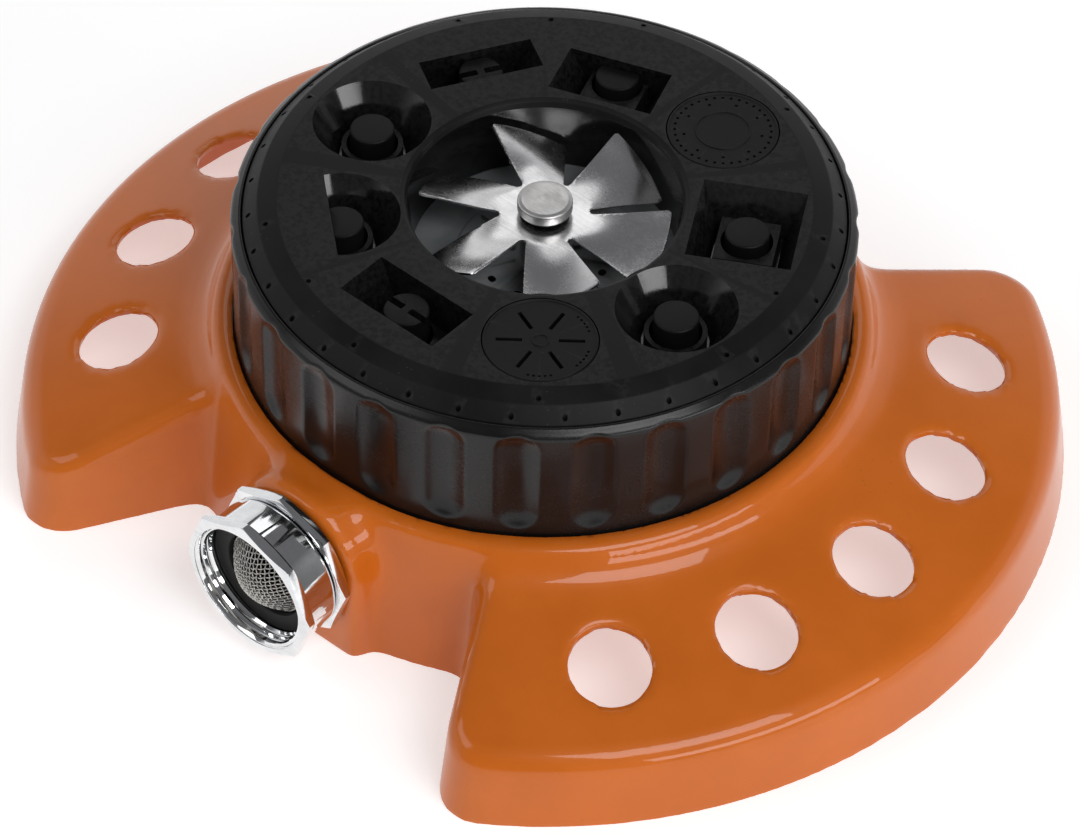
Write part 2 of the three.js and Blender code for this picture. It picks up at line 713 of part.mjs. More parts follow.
// The black face: a bevelled plate with a pocket at each stud, a seat at each disc, and the well's wall.
function patternFace() {
  const plate = ring([
    [wellBore, plateTop + SEAT],
    [wellOuter, plateTop + SEAT],
    [wellOuter, faceUnder],
    [FACE_EDGE + 1.9, faceUnder],
    [FACE_EDGE + 2.9, rimUnder],
    [faceRadius, rimUnder],
    [faceRadius, rimTop],
    [BEVEL_RING, faceTop - BEVEL_DROP],
    [FACE_EDGE, faceTop],
    [WELL_RADIUS + 1.2, faceTop],
    [WELL_RADIUS + 0.3, faceTop - 0.4],
    [WELL_RADIUS, faceTop - 1.2],
  ], 54);
  const placed = (shape, theta) => shape.rotate([0, 0, theta]);
  const cups = STUDS.map((station) =>
    placed(pocket(station, POCKET_WALL, pocketFloor - POCKET_WALL, faceTop - 0.5), station.theta),
  );
  const hollows = STUDS.map((station) =>
    placed(pocket(station, 0, pocketFloor, faceTop + 1), station.theta),
  );
  const collars = STUDS.filter((station) => station.collar).map((station) =>
    placed(collar(station), station.theta),
  );
  const nozzles = STUDS.map((station) => {
    const nozzle = rod(nozzleRadius, chamberTop - 1, collarTop + 1).translate(0, -STATION_RING, 0);
    return placed(solid(nozzle).intersect(insideFlat(station, 0)), station.theta);
  });
  const seats = DISCS.map(({ theta }) =>
    solid(atTheta(rod(DISC_RADIUS + DISC_LEDGE, discUnder - 2.5, faceTop - 0.5, 24), STATION_RING, theta)),
  );
  const discCuts = DISCS.flatMap(({ theta }) => [
    solid(atTheta(rod(DISC_RADIUS + SEAT, discUnder - SEAT, faceTop + 1, 24), STATION_RING, theta)),
    solid(atTheta(rod(DISC_RADIUS - DISC_LEDGE, discUnder - 5, faceTop, 24), STATION_RING, theta)),
  ]);
  const bosses = SCREW_ANGLES.map((theta) =>
    solid(atTheta(rod(screwPost, screwJoint, faceUnder + 0.5, 12), SCREW_RING, theta)),
  );
  const screwHoles = SCREW_ANGLES.map((theta) =>
    solid(atTheta(rod(screwHole, screwJoint - 1, screwTip + SEAT, 12), SCREW_RING, theta)),
  );
  const jets = [OUTER_JETS, MIDDLE_JETS, INNER_JETS].map((jet) =>
    drilled(jet, JET_RADIUS, rimUnder - 2, faceTop + 1, 4),
  );
  return union([solid(plate), ...cups, ...seats, ...bosses])
    .subtract(union(hollows))
    .add(union(collars))
    .subtract(union([...nozzles, ...discCuts, ...screwHoles, ...jets]));
}

// A stud stands on its bridge and leaves a ring-shaped nozzle round its head.
function stud(station) {
  const foot = bridgeTop + SEAT;
  const shoulder = pocketFloor - 1;
  const turnedStud = turned([
    [0, foot],
    [STUD_STEM, foot],
    [STUD_STEM, shoulder],
    [STUD_RADIUS, shoulder + 1],
    [STUD_RADIUS, studTop],
    [0, studTop],
  ], 20).translate(0, -STATION_RING, 0);
  let shape = solid(turnedStud);
  if (station.flat) shape = shape.intersect(insideFlat(station, SEAT));
  if (station.slot) {
    const near = STATION_RING - STUD_SLOT.width / 2;
    const far = STATION_RING + STUD_SLOT.width / 2;
    const depth = [studTop - STUD_SLOT.depth, studTop + 1];
    const bridge = STUD_SLOT.bridge / 2;
    const halves = [[-STUD_RADIUS - 1, -bridge], [bridge, STUD_RADIUS + 1]];
    shape = shape.subtract(union(halves.map((span) => solid(block(span, [near, far], depth)))));
    const walls = [station.near[1] + SEAT, station.far[1] - SEAT];
    shape = shape.intersect(solid(block([-20, 20], walls, [turretFloor, faceTop])));
  }
  return shape.rotate([0, 0, station.theta]);
}

const disc = () => solid(rod(DISC_RADIUS, discUnder, faceTop, 32));

function mistDisc() {
  const { width, near, far } = MIST_SLOTS;
  const slots = evenly(MIST_SLOTS).map((turn) => {
    const slot = block([-width / 2, width / 2], [near, far], [discUnder - 1, faceTop + 1]);
    return solid(slot.rotateZ(radians(turn)));
  });
  return disc().subtract(union(slots));
}

function showerDisc() {
  const jets = FINE_JETS.map((ring) =>
    drilled(ring, FINE_JET_RADIUS, discUnder - 1, faceTop + 1, 3),
  );
  return disc().subtract(union(jets));
}

const screw = (foot, head, headHeight, tip) =>
  turned([
    [0, foot],
    [head, foot],
    [head, foot + headHeight],
    [SCREW_SHAFT, foot + headHeight],
    [SCREW_SHAFT, tip - 1],
    [SCREW_SHAFT / 2, tip],
    [0, tip],
  ], 12);

// ---- Fan ----

function jetPlate() {
  const outer = coreBore - SEAT;
  const plate = ring([
    [pinBore, plateUnder],
    [outer, plateUnder],
    [outer, plateTop],
    [PLATE_BOSS, plateTop],
    [PLATE_BOSS, bushUnder - RUN],
    [pinBore, bushUnder - RUN],
  ], 36);
  return solid(plate).subtract(drilled(FAN_JETS, FAN_JET_RADIUS, plateUnder - 1, plateTop + 1, 4));
}

function fanPin() {
  const tailTop = plateUnder - SEAT;
  return turned([
    [0, tailTop - PIN_TAIL],
    [PIN_SHAFT + PIN_TAIL, tailTop - PIN_TAIL],
    [PIN_SHAFT + PIN_TAIL, tailTop],
    [PIN_SHAFT, tailTop],
    [PIN_SHAFT, pinHeadUnder],
    [PIN_HEAD, pinHeadUnder],
    [PIN_HEAD, pinTop - 0.5],
    [PIN_HEAD - 0.7, pinTop],
    [0, pinTop],
  ], 20);
}

const fanBush = () =>
  ring([
    [pinBore, bushUnder],
    [bushRadius, bushUnder],
    [bushRadius, bushFlangeUnder],
    [BUSH_FLANGE, bushFlangeUnder],
    [BUSH_FLANGE, bushFlangeUnder + BUSH_FLANGE_WIDTH],
    [bushRadius, bushFlangeUnder + BUSH_FLANGE_WIDTH],
    [bushRadius, fanTop + BUSH_LIP],
    [pinBore, fanTop + BUSH_LIP],
  ], 18);

// One twisted blade of sheet metal, from the fan's flat hub to its tip.
function blade(start) {
  const pitch = 360 / BLADES;
  const steps = 4;
  const position = [];
  const corner = (i, j) => i * (steps + 1) + j;
  for (const lift of [-FAN_SHEET, 0]) {
    for (let i = 0; i <= steps; i++) {
      const out = i / steps;
      for (let j = 0; j <= steps; j++) {
        const across = j / steps;
        const trailing = start + 2 + BLADE_TAPER[0] * out;
        const leading = start + pitch - 2 - BLADE_TAPER[1] * out;
        const theta = radians(trailing + (leading - trailing) * across);
        const radius = FAN_HUB - 1.5 + (FAN_TIP - FAN_HUB + 1.5) * out;
        const bend = Math.max(0, (radius - FAN_HUB) / (FAN_TIP - FAN_HUB));
        const rise = bend * (-BLADE_FALL + (BLADE_RISE + BLADE_FALL) * across);
        position.push(radius * Math.sin(theta), -radius * Math.cos(theta), fanTop + lift + rise);
      }
    }
  }
  const layer = (steps + 1) ** 2;
  const index = [];
  const quad = (a, b, c, d) => index.push(a, b, c, a, c, d);
  for (let i = 0; i < steps; i++) {
    for (let j = 0; j < steps; j++) {
      const [a, b, c, d] = [corner(i, j), corner(i + 1, j), corner(i + 1, j + 1), corner(i, j + 1)];
      quad(layer + a, layer + b, layer + c, layer + d);
      quad(d, c, b, a);
    }
    quad(corner(i, 0), corner(i + 1, 0), layer + corner(i + 1, 0), layer + corner(i, 0));
    quad(corner(i + 1, steps), corner(i, steps), layer + corner(i, steps), layer + corner(i + 1, steps));
    quad(corner(0, i + 1), corner(0, i), layer + corner(0, i), layer + corner(0, i + 1));
    quad(corner(steps, i), corner(steps, i + 1), layer + corner(steps, i + 1), layer + corner(steps, i));
  }
  const geometry = new THREE.BufferGeometry();
  geometry.setAttribute("position", new THREE.Float32BufferAttribute(position, 3));
  geometry.setIndex(index);
  return geometry;
}

function fan() {
  const hole = bushRadius + SEAT;
  const flatHub = solid(tube(hole, FAN_HUB + 0.2, fanUnder, fanTop, 36));
  const blades = evenly({ count: BLADES, start: BLADE_START }).map((start) => solid(blade(start)));
  return union([flatHub, ...blades]);
}

// ---- Pivot, seal and click spring ----

class Helix extends THREE.Curve {
  constructor(radius, turns, low, high) {
    super();
    Object.assign(this, { radius, turns, low, high });
  }

  getPoint(t) {
    const angle = 2 * Math.PI * this.turns * t;
    const height = this.low + (this.high - this.low) * t;
    return new THREE.Vector3(this.radius * Math.cos(angle), this.radius * Math.sin(angle), height);
  }
}

function pivotSpring() {
  const section = new THREE.Shape(
    Array.from({ length: 5 }, (_, i) => {
      const angle = ((2 * Math.PI) / 5) * i;
      return new THREE.Vector2(SPRING_WIRE * Math.cos(angle), SPRING_WIRE * Math.sin(angle));
    }),
  );
  const [low, high] = [springBottom + SPRING_WIRE, springBottom + SPRING_LENGTH - SPRING_WIRE];
  const extrudePath = new Helix(SPRING_RADIUS, SPRING_TURNS, low, high);
  return new THREE.ExtrudeGeometry(section, { steps: SPRING_TURNS * 9, extrudePath });
}

// A bent strip on the deck whose crest rests in one of the turret's notches.
function clickSpring() {
  const bed = deckTop + SEAT;
  const crest = turretFloor + NOTCH_DEPTH - CLICK_CREST - CLICK_SHEET;
  const under = [
    [CLICK_SCREW_AT + CLICK_SCREW_HEAD + 0.8, bed],
    [CLICK_FOOT, bed],
    [0.6, crest],
    [-0.6, crest],
    [-CLICK_FOOT, bed],
    [-CLICK_FOOT - CLICK_TAIL, bed],
  ];
  const outline = [...under, ...under.map(([x, z]) => [x, z + CLICK_SHEET]).reverse()];
  const strip = lying(
    prism(outline.reverse(), DETENT_RING - CLICK_WIDTH / 2, DETENT_RING + CLICK_WIDTH / 2),
  );
  const hole = clickScrewHole(SCREW_SHAFT + SEAT, bed - 1, bed + 2);
  return solid(strip.rotateZ(Math.PI)).subtract(solid(hole));
}

function clickScrew() {
  const headUnder = deckTop + SEAT + CLICK_SHEET + SEAT;
  return turned([
    [0, deckUnder - 2],
    [SCREW_SHAFT, deckUnder - 2],
    [SCREW_SHAFT, headUnder],
    [CLICK_SCREW_HEAD, headUnder],
    [CLICK_SCREW_HEAD, turretFloor - 0.2],
    [0, turretFloor - 0.2],
  ], 12);
}

function pivotBolt() {
  const headUnder = springBottom - SEAT - PIVOT_WASHER.width - SEAT;
  const head = rod(BOLT_HEAD, headUnder - BOLT_HEAD_HEIGHT, headUnder, 6);
  return solid(rod(BOLT_RADIUS, headUnder - 1, boltTop)).add(solid(head));
}

// ---- Assembly ----

const sprinkler = new THREE.Group();

function piece(name, shape, material) {
  const made = shape.isBufferGeometry ? solid(shape) : shape;
  const mesh = new THREE.Mesh(geometryOf(made), material());
  mesh.name = name;
  sprinkler.add(mesh);
}

piece("base_casting", baseCasting(), ENAMEL);
piece("inlet_nipple", solid(alongInlet(geometryOf(inletNipple()))), CHROME);
const gasket = tube(NIPPLE_TAIL + SEAT, GASKET.radius, bossFace + SEAT, flangeBack - SEAT, 20);
piece("nipple_gasket", alongInlet(gasket), RUBBER);
const seal = tube(SEAL_BORE, SEAL_RADIUS, deckTop - SEAL_POCKET + SEAT, turretFloor - RUN, 20);
piece("port_seal", atTheta(seal, STATION_RING, 0), RUBBER);
piece("thrust_washer", tube(THRUST_INNER, THRUST_OUTER, deckTop + SEAT, turretFloor - RUN, 24), NYLON);
piece("pivot_spring", pivotSpring(), STEEL);
piece("click_spring", clickSpring(), STEEL);
piece("click_screw", atTheta(clickScrew().translate(CLICK_SCREW_AT, 0, 0), DETENT_RING, 180), STEEL);

piece("swivel_nut", alongInlet(geometryOf(swivelNut())), CHROME);
const washerBack = lipFront + SEAT;
const washer = tube(SCREEN_RADIUS + SEAT, HOSE_BORE - SEAT, washerBack, washerBack + WASHER_WIDTH, 24);
piece("hose_washer", alongInlet(washer), RUBBER);
piece("strainer_screen", alongInlet(geometryOf(strainerScreen())), STEEL);

piece("grip_ring", gripRing(), BLACK);
piece("turret_body", turretBody(), BLACK);
piece("pattern_face", patternFace(), BLACK);
for (const station of STUDS) piece(station.name, stud(station), BLACK);
for (const { name, theta, shape } of DISCS) {
  piece(name, atTheta(geometryOf(shape()), STATION_RING, theta), BLACK);
}
SCREW_ANGLES.forEach((theta, i) => {
  const fixing = screw(screwHeadTop - SCREW_HEAD_HEIGHT, SCREW_HEAD, SCREW_HEAD_HEIGHT, screwTip);
  piece(`turret_screw_${i + 1}`, atTheta(fixing, SCREW_RING, theta), STEEL);
});
piece("jet_plate", jetPlate(), NYLON);
piece("fan_pin", fanPin(), STEEL);
const fanWasherUnder = fanTop + BUSH_LIP + RUN;
piece("fan_washer", tube(pinBore, FAN_WASHER.radius, fanWasherUnder, pinHeadUnder - RUN, 16), BLACK);
piece("pivot_bolt", pivotBolt(), STEEL);
const pivotWasherTop = springBottom - SEAT;
const pivotWasherBore = BOLT_RADIUS + SEAT;
const pivotWasher = tube(
  pivotWasherBore,
  PIVOT_WASHER.radius,
  pivotWasherTop - PIVOT_WASHER.width,
  pivotWasherTop,
  16,
);
piece("pivot_washer", pivotWasher, STEEL);

piece("fan", fan(), STEEL);
piece("fan_bush", fanBush(), BLACK);

export default sprinkler;
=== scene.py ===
# %% [markdown]
# # A nine-pattern turret sprinkler
# A die-cast base with two drilled wings carries a black turret. The turret turns in nine clicks, so that the
# hose feeds one of nine spray stations, and a sheet-metal fan spins over the centre jets. The frame below
# holds every part at its true size and place. This lesson dresses those parts with fine meshes and finishes.

# %% Load the frame
import math

import bmesh
import bpy
from mathutils import Matrix, Vector
from mathutils.geometry import delaunay_2d_cdt


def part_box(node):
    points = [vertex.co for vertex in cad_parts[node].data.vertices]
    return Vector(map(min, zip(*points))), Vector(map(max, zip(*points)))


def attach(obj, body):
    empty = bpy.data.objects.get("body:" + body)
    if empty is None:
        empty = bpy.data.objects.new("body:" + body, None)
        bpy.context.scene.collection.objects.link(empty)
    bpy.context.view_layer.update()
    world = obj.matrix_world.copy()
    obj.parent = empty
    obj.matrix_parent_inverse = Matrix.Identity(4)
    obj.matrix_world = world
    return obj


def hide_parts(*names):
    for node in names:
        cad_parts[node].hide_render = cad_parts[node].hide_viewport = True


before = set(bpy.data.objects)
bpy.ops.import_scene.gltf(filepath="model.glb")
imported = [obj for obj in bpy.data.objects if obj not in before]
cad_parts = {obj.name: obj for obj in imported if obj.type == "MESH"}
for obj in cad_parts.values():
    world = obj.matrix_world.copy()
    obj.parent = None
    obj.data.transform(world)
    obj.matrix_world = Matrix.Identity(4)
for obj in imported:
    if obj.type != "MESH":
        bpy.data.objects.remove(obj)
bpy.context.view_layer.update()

# %% [markdown]
# ## Sizes
# Every place comes from the frame. The boxes of the parts give the heights and radii, and only sizes that no
# box can tell, such as a fillet or a draft, are given. Everything here is in millimetres, and one factor
# turns it into metres when a mesh is made.

# %% Sizes read from the frame, in millimetres
MM = 0.001


def box_mm(node):
    low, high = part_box(node)
    return [low[i] / MM for i in range(3)], [high[i] / MM for i in range(3)]


def ends(node, axis=2):
    """Where a part starts and stops along an axis, which is the height if none is named."""
    low, high = box_mm(node)
    return low[axis], high[axis]


def reach_of(node):
    """How far a part goes towards +X, which is its radius if it is round."""
    return ends(node, 0)[1]


def outwards(node):
    """Where a part of the coupling starts and stops, outwards along the inlet."""
    low, high = ends(node, 1)
    return -high, -low


SEAT_GAP = 0.3
FACE_FOOT, FACE_TOP = ends("pattern_face")
FACE_RADIUS = reach_of("pattern_face")
GRIP_LOW, GRIP_HIGH = ends("grip_ring")
GRIP_RADIUS = reach_of("grip_ring")
WING_RADIUS = reach_of("base_casting")
DECK_TOP = ends("thrust_washer")[0] - SEAT_GAP
INLET_HEIGHT = sum(ends("swivel_nut")) / 2
STATION_RING = -sum(ends("port_seal", 1)) / 2
STATION_STEP = 40
print(f"face top {FACE_TOP:.2f}, grip {GRIP_LOW:.2f} to {GRIP_HIGH:.2f}, radius {GRIP_RADIUS:.2f}")
print(f"inlet height {INLET_HEIGHT:.2f}, stations on a ring of radius {STATION_RING:.2f}")

# %% [markdown]
# ## Arithmetic on fields
# Both Geometry Nodes and shaders compute with Math nodes. A field that answers to plus, minus and times
# lets a rule be written as a formula, and the nodes are placed behind the scenes.

# %% A field that answers to ordinary arithmetic
class Field:
    """One number at every point, held by an output socket of a node tree."""

    def __init__(self, tree, socket):
        self.tree = tree
        self.socket = socket

    def math(self, operation, *others):
        node = self.tree.nodes.new("ShaderNodeMath")
        node.operation = operation
        for slot, value in zip(node.inputs, (self, *others)):
            feed(self.tree, value, slot)
        return Field(self.tree, node.outputs[0])

    def __add__(self, other):
        return self.math("ADD", other)

    def __sub__(self, other):
        return self.math("SUBTRACT", other)

    def __rsub__(self, other):
        return self.math("MULTIPLY_ADD", -1, other)

    def __mul__(self, other):
        return self.math("MULTIPLY", other)

    def __truediv__(self, other):
        return self.math("DIVIDE", other)

    def __rtruediv__(self, other):
        return self.math("POWER", -1) * other

    def __neg__(self):
        return self.math("MULTIPLY", -1)

    __radd__ = __add__
    __rmul__ = __mul__


def feed(tree, value, slot):
    """Links a field or socket to an input, or sets the input to a plain value."""
    if isinstance(value, Field):
        value = value.socket
    if isinstance(value, bpy.types.NodeSocket):
        tree.links.new(value, slot)
    else:
        slot.default_value = value


def add_node(tree, kind, inputs=None, **settings):
    node = tree.nodes.new(kind)
    for name, value in settings.items():
        setattr(node, name, value)
    for name, value in (inputs or {}).items():
        feed(tree, value, node.inputs[name])
    return node


def hypot(a, b):
    return (a * a + b * b).math("SQRT")


def lesser(a, b, blend=0.0):
    """The smaller field, which joins two solids. A blend gives the join a fillet."""
    return a.math("SMOOTH_MIN", b, blend) if blend else a.math("MINIMUM", b)


def greater(a, b, blend=0.0):
    return a.math("SMOOTH_MAX", b, blend) if blend else a.math("MAXIMUM", b)


def round_corner(a, b, radius):
    """Where two square faces meet, a quarter round of that radius."""
    reach = hypot(greater(a + radius, 0), greater(b + radius, 0))
    return reach + lesser(greater(a, b) + radius, 0) - radius


# %% [markdown]
# ## Trees with named sizes
# A Geometry Nodes tree is a recipe with named inputs. The helper makes the sockets, and another one runs the
# recipe on an object, keeps the plain mesh that comes out, and takes the modifier away again.

# %% Make and run a Geometry Nodes tree
def new_tree(name, sizes, counts=()):
    tree = bpy.data.node_groups.new(name, "GeometryNodeTree")
    tree.interface.new_socket("Geometry", in_out="INPUT", socket_type="NodeSocketGeometry")
    for size in sizes:
        tree.interface.new_socket(size, in_out="INPUT", socket_type="NodeSocketFloat")
    for count in counts:
        tree.interface.new_socket(count, in_out="INPUT", socket_type="NodeSocketInt")
    tree.interface.new_socket("Finish", in_out="INPUT", socket_type="NodeSocketMaterial")
    tree.interface.new_socket("Geometry", in_out="OUTPUT", socket_type="NodeSocketGeometry")
    entry = tree.nodes.new("NodeGroupInput")
    fields = {size: Field(tree, entry.outputs[size]) for size in (*sizes, *counts)}
    return tree, entry, fields


def end_tree(tree, entry, geometry):
    """Every recipe ends the same way: real geometry, with its finish on it."""
    real = add_node(tree, "GeometryNodeRealizeInstances", {"Geometry": geometry})
    finish = add_node(tree, "GeometryNodeSetMaterial", {"Geometry": real.outputs[0]})
    feed(tree, entry.outputs["Finish"], finish.inputs["Material"])
    last = tree.nodes.new("NodeGroupOutput")
    feed(tree, finish.outputs[0], last.inputs[0])
    return tree


def position_fields(tree, scale=1 / MM):
    place = add_node(tree, "GeometryNodeInputPosition")
    parts = add_node(tree, "ShaderNodeSeparateXYZ", {0: place.outputs[0]})
    return [Field(tree, parts.outputs[i]) * scale for i in range(3)]


def plain_mesh(piece):
    """Keeps what the modifiers make as an ordinary mesh, and removes them."""
    graph = bpy.context.evaluated_depsgraph_get()
    made = bpy.data.meshes.new_from_object(piece.evaluated_get(graph))
    piece.modifiers.clear()
    piece.data = made
    made.name = piece.name
    return piece


def run_tree(piece, tree, **values):
    modifier = piece.modifiers.new(tree.name, "NODES")
    modifier.node_group = tree
    for item in tree.interface.items_tree:
        if item.in_out == "INPUT" and item.name.replace(" ", "_").lower() in values:
            modifier[item.identifier] = values[item.name.replace(" ", "_").lower()]
    return plain_mesh(piece)


# %% [markdown]
# ## Meshes from outlines
# Most of these parts came off a lathe or out of a turned mould, so a rounded profile spun about an axis is
# the honest way to make them. The profile's corners are rounded before it is spun, which gives every edge
# the small radius that catches light.

# %% Helpers that make, spin and place meshes
def mesh_piece(name, points, faces, finish):
    """A new object from points in millimetres."""
    mesh = bpy.data.meshes.new(name)
    mesh.from_pydata([Vector(point) * MM for point in points], [], faces)
    mesh.materials.append(finish)
    piece = bpy.data.objects.new(name, mesh)
    bpy.context.scene.collection.objects.link(piece)
    return piece


def rounded(profile, steps=4):
    """Points (radius, height, fillet) of a closed outline, with each fillet drawn as an arc."""
    outline = []
    for i, (r, z, *fillet) in enumerate(profile):
        here = Vector((r, z))
        size = fillet[0] if fillet else 0
        if not size:
            outline.append(here)
            continue
        before = Vector(profile[i - 1][:2]) - here
        after = Vector(profile[(i + 1) % len(profile)][:2]) - here
        half = before.angle(after) / 2
        cut = min(size / math.tan(half), before.length / 2.02, after.length / 2.02)
        start, end = here + before.normalized() * cut, here + after.normalized() * cut
        for step in range(steps + 1):
            t = step / steps
            outline.append((1 - t) ** 2 * start + 2 * t * (1 - t) * here + t**2 * end)
    return [(point.x, point.y) for point in outline]


def turned(name, profile, finish, steps=128, fillet_steps=4):
    """Spins a closed outline about Z. Points on the axis become one pole."""
    outline = rounded(profile, fillet_steps)
    points, columns = [], []
    for r, z in outline:
        if r < 1e-6:
            columns.append([len(points)] * steps)
            points.append((0, 0, z))
            continue
        columns.append(list(range(len(points), len(points) + steps)))
        for step in range(steps):
            angle = math.tau * step / steps
            points.append((r * math.cos(angle), r * math.sin(angle), z))
    faces = []
    for i, column in enumerate(columns):
        following = columns[(i + 1) % len(columns)]
        for j in range(steps):
            k = (j + 1) % steps
            corners = dict.fromkeys((column[j], column[k], following[k], following[j]))
            if len(corners) > 2:
                faces.append(tuple(corners))
    piece = mesh_piece(name, points, faces, finish)
    return face_outwards(piece)


def face_outwards(piece, merge=1e-7):
    work = bmesh.new()
    work.from_mesh(piece.data)
    bmesh.ops.remove_doubles(work, verts=work.verts, dist=merge)
    bmesh.ops.recalc_face_normals(work, faces=work.faces)
    if work.calc_volume(signed=True) < 0:
        bmesh.ops.reverse_faces(work, faces=work.faces)
    work.to_mesh(piece.data)
    work.free()
    return piece


def prism(name, outline, low, high, finish, top=None):
    """A solid between an outline of (x, y) points at one height and another outline above it."""
    top = top or outline
    count = len(outline)
    points = [(x, y, low) for x, y in outline] + [(x, y, high) for x, y in top]
    faces = [tuple(range(count))[::-1], tuple(range(count, 2 * count))]
    faces += [(i, (i + 1) % count, (i + 1) % count + count, i + count) for i in range(count)]
    return face_outwards(mesh_piece(name, points, faces, finish))


def placed(piece, *moves):
    """Moves the mesh itself, so that the object stays at the origin."""
    for move in moves:
        piece.data.transform(move)
    return piece


def shift(x=0, y=0, z=0):
    return Matrix.Translation(Vector((x, y, z)) * MM)


def turn(degrees, axis="Z"):
    return Matrix.Rotation(math.radians(degrees), 4, axis)


TO_INLET = shift(z=INLET_HEIGHT) @ turn(90, "X")


def at_station(theta):
    """From the turret's axis out to a spray station, anticlockwise from the inlet."""
    return turn(theta) @ shift(y=-STATION_RING)


# %% [markdown]
# ### Pegs and bars
# Most cuts and joins need only a round peg or a square bar.

# %% Pegs and bars, for cutting and joining
def peg(name, radius, low, high, finish, steps=12):
    return turned(name, [(0, low), (radius, low), (radius, high), (0, high)], finish, steps)


def bar(x, y, z, finish):
    """A block given by its ranges in millimetres."""
    corners = [(x[0], y[0]), (x[1], y[0]), (x[1], y[1]), (x[0], y[1])]
    return prism("bar", corners, z[0], z[1], finish)


# %% [markdown]
# ### Joining, cutting and dressing
# A cut is exact and hands its own finish to the walls it leaves. Dressing gives a piece its shading and its
# body, and prints its triangles.

# %% Helpers that join, cut and finish meshes
def joined(name, pieces):
    """Several meshes as one object, each with its own finish."""
    work = bmesh.new()
    finishes = []
    for piece in pieces:
        first = len(work.faces)
        work.from_mesh(piece.data)
        work.faces.ensure_lookup_table()
        for face in work.faces[first:]:
            finish = piece.data.materials[face.material_index]
            if finish not in finishes:
                finishes.append(finish)
            face.material_index = finishes.index(finish)
    mesh = bpy.data.meshes.new(name)
    work.to_mesh(mesh)
    work.free()
    for finish in finishes:
        mesh.materials.append(finish)
    for piece in pieces:
        bpy.data.objects.remove(piece)
    whole = bpy.data.objects.new(name, mesh)
    bpy.context.scene.collection.objects.link(whole)
    return whole


def cut(piece, cutters, operation="DIFFERENCE"):
    tool = joined("tool", cutters)
    modifier = piece.modifiers.new("cut", "BOOLEAN")
    modifier.operation = operation
    modifier.solver = "EXACT"
    modifier.material_mode = "TRANSFER"
    modifier.object = tool
    plain_mesh(piece)
    bpy.data.objects.remove(tool)
    return piece


def broken_edges(piece, width, segments=2, angle=28):
    """Breaks the sharp edges, as a mould or a deburring tool does."""
    modifier = piece.modifiers.new("edges", "BEVEL")
    modifier.width = width * MM
    modifier.segments = segments
    modifier.limit_method = "ANGLE"
    modifier.angle_limit = math.radians(angle)
    modifier.harden_normals = False
    return plain_mesh(piece)


def dress(piece, body, slot, *nodes, sharp=32):
    """Smooth shading with real creases, and the piece's place in the frame."""
    piece.data.shade_smooth()
    piece.data.set_sharp_from_angle(angle=math.radians(sharp))
    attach(piece, body)
    if nodes:
        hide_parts(*nodes)
    print(f"{piece.name}: {sum(len(p.vertices) - 2 for p in piece.data.polygons)} triangles on {body}")
    return piece


# %% [markdown]
# ## The camera
# A long lens stands a metre away and looks down at the ground under the turret, which keeps the rings of the
# turret close to true ellipses. It comes first, so that every piece can be judged through it.

# %% Camera
CAMERA_AZIMUTH = 40.51
CAMERA_ELEVATION = 45.78
CAMERA_DISTANCE = 1043.8
CAMERA_ROLL = 1.14
CAMERA_LENS = 164.45
AIM = Vector((-0.84, 0.76, 0.0))


def from_angles(azimuth, elevation, distance):
    """A place seen from the origin: azimuth 0 lies towards -Y, and grows towards +X."""
    a, e = math.radians(azimuth), math.radians(elevation)
    return Vector((math.sin(a) * math.cos(e), -math.cos(a) * math.cos(e), math.sin(e))) * distance


def camera():
    data = bpy.data.cameras.new("camera")
    data.lens = CAMERA_LENS
    data.sensor_width = 36
    data.clip_start = 0.01
    seat = bpy.data.objects.new("camera", data)
    back = from_angles(CAMERA_AZIMUTH, CAMERA_ELEVATION, 1)
    spin = Matrix.Rotation(math.radians(CAMERA_ROLL), 4, back)
    look = spin @ back.to_track_quat("Z", "Y").to_matrix().to_4x4()
    seat.matrix_world = Matrix.Translation((AIM + back * CAMERA_DISTANCE) * MM) @ look
    bpy.context.scene.collection.objects.link(seat)
    bpy.context.scene.camera = seat
    return seat


print("camera at", [round(v, 3) for v in camera().location])

# %% [markdown]
# ## Finishes
# Three shader groups are shared. One gives a fine grain, a slow blotchiness and specks, one rubs the surface
# along one direction, and one finds the convex edges. Each finish below sets its own values on them, so no
# surface is a single flat colour.

# %% Shader groups for grain and for rubbing
def new_group(name, inputs, outputs):
    group = bpy.data.node_groups.new(name, "ShaderNodeTree")
    for label, value in inputs.items():
        kind = "NodeSocketVector" if label == "Vector" else "NodeSocketFloat"
        socket = group.interface.new_socket(label, in_out="INPUT", socket_type=kind)
        if label != "Vector":
            socket.default_value = value
    for label in outputs:
        group.interface.new_socket(label, in_out="OUTPUT", socket_type="NodeSocketFloat")
    entry = group.nodes.new("NodeGroupInput")
    last = group.nodes.new("NodeGroupOutput")
    return group, entry, last


def noise(tree, vector, scale, detail=3.0, roughness=0.55):
    """Noise whose scale counts features per metre."""
    node = add_node(tree, "ShaderNodeTexNoise", {"Vector": vector, "Scale": scale})
    node.inputs["Detail"].default_value = detail
    node.inputs["Roughness"].default_value = roughness
    return Field(tree, node.outputs["Fac"])


def fitted(field, low, high):
    """Spreads the useful middle of a noise from 0 to 1."""
    node = add_node(field.tree, "ShaderNodeMapRange", {"Value": field, "From Min": low, "From Max": high})
    node.interpolation_type = "SMOOTHSTEP"
    return Field(field.tree, node.outputs["Result"])


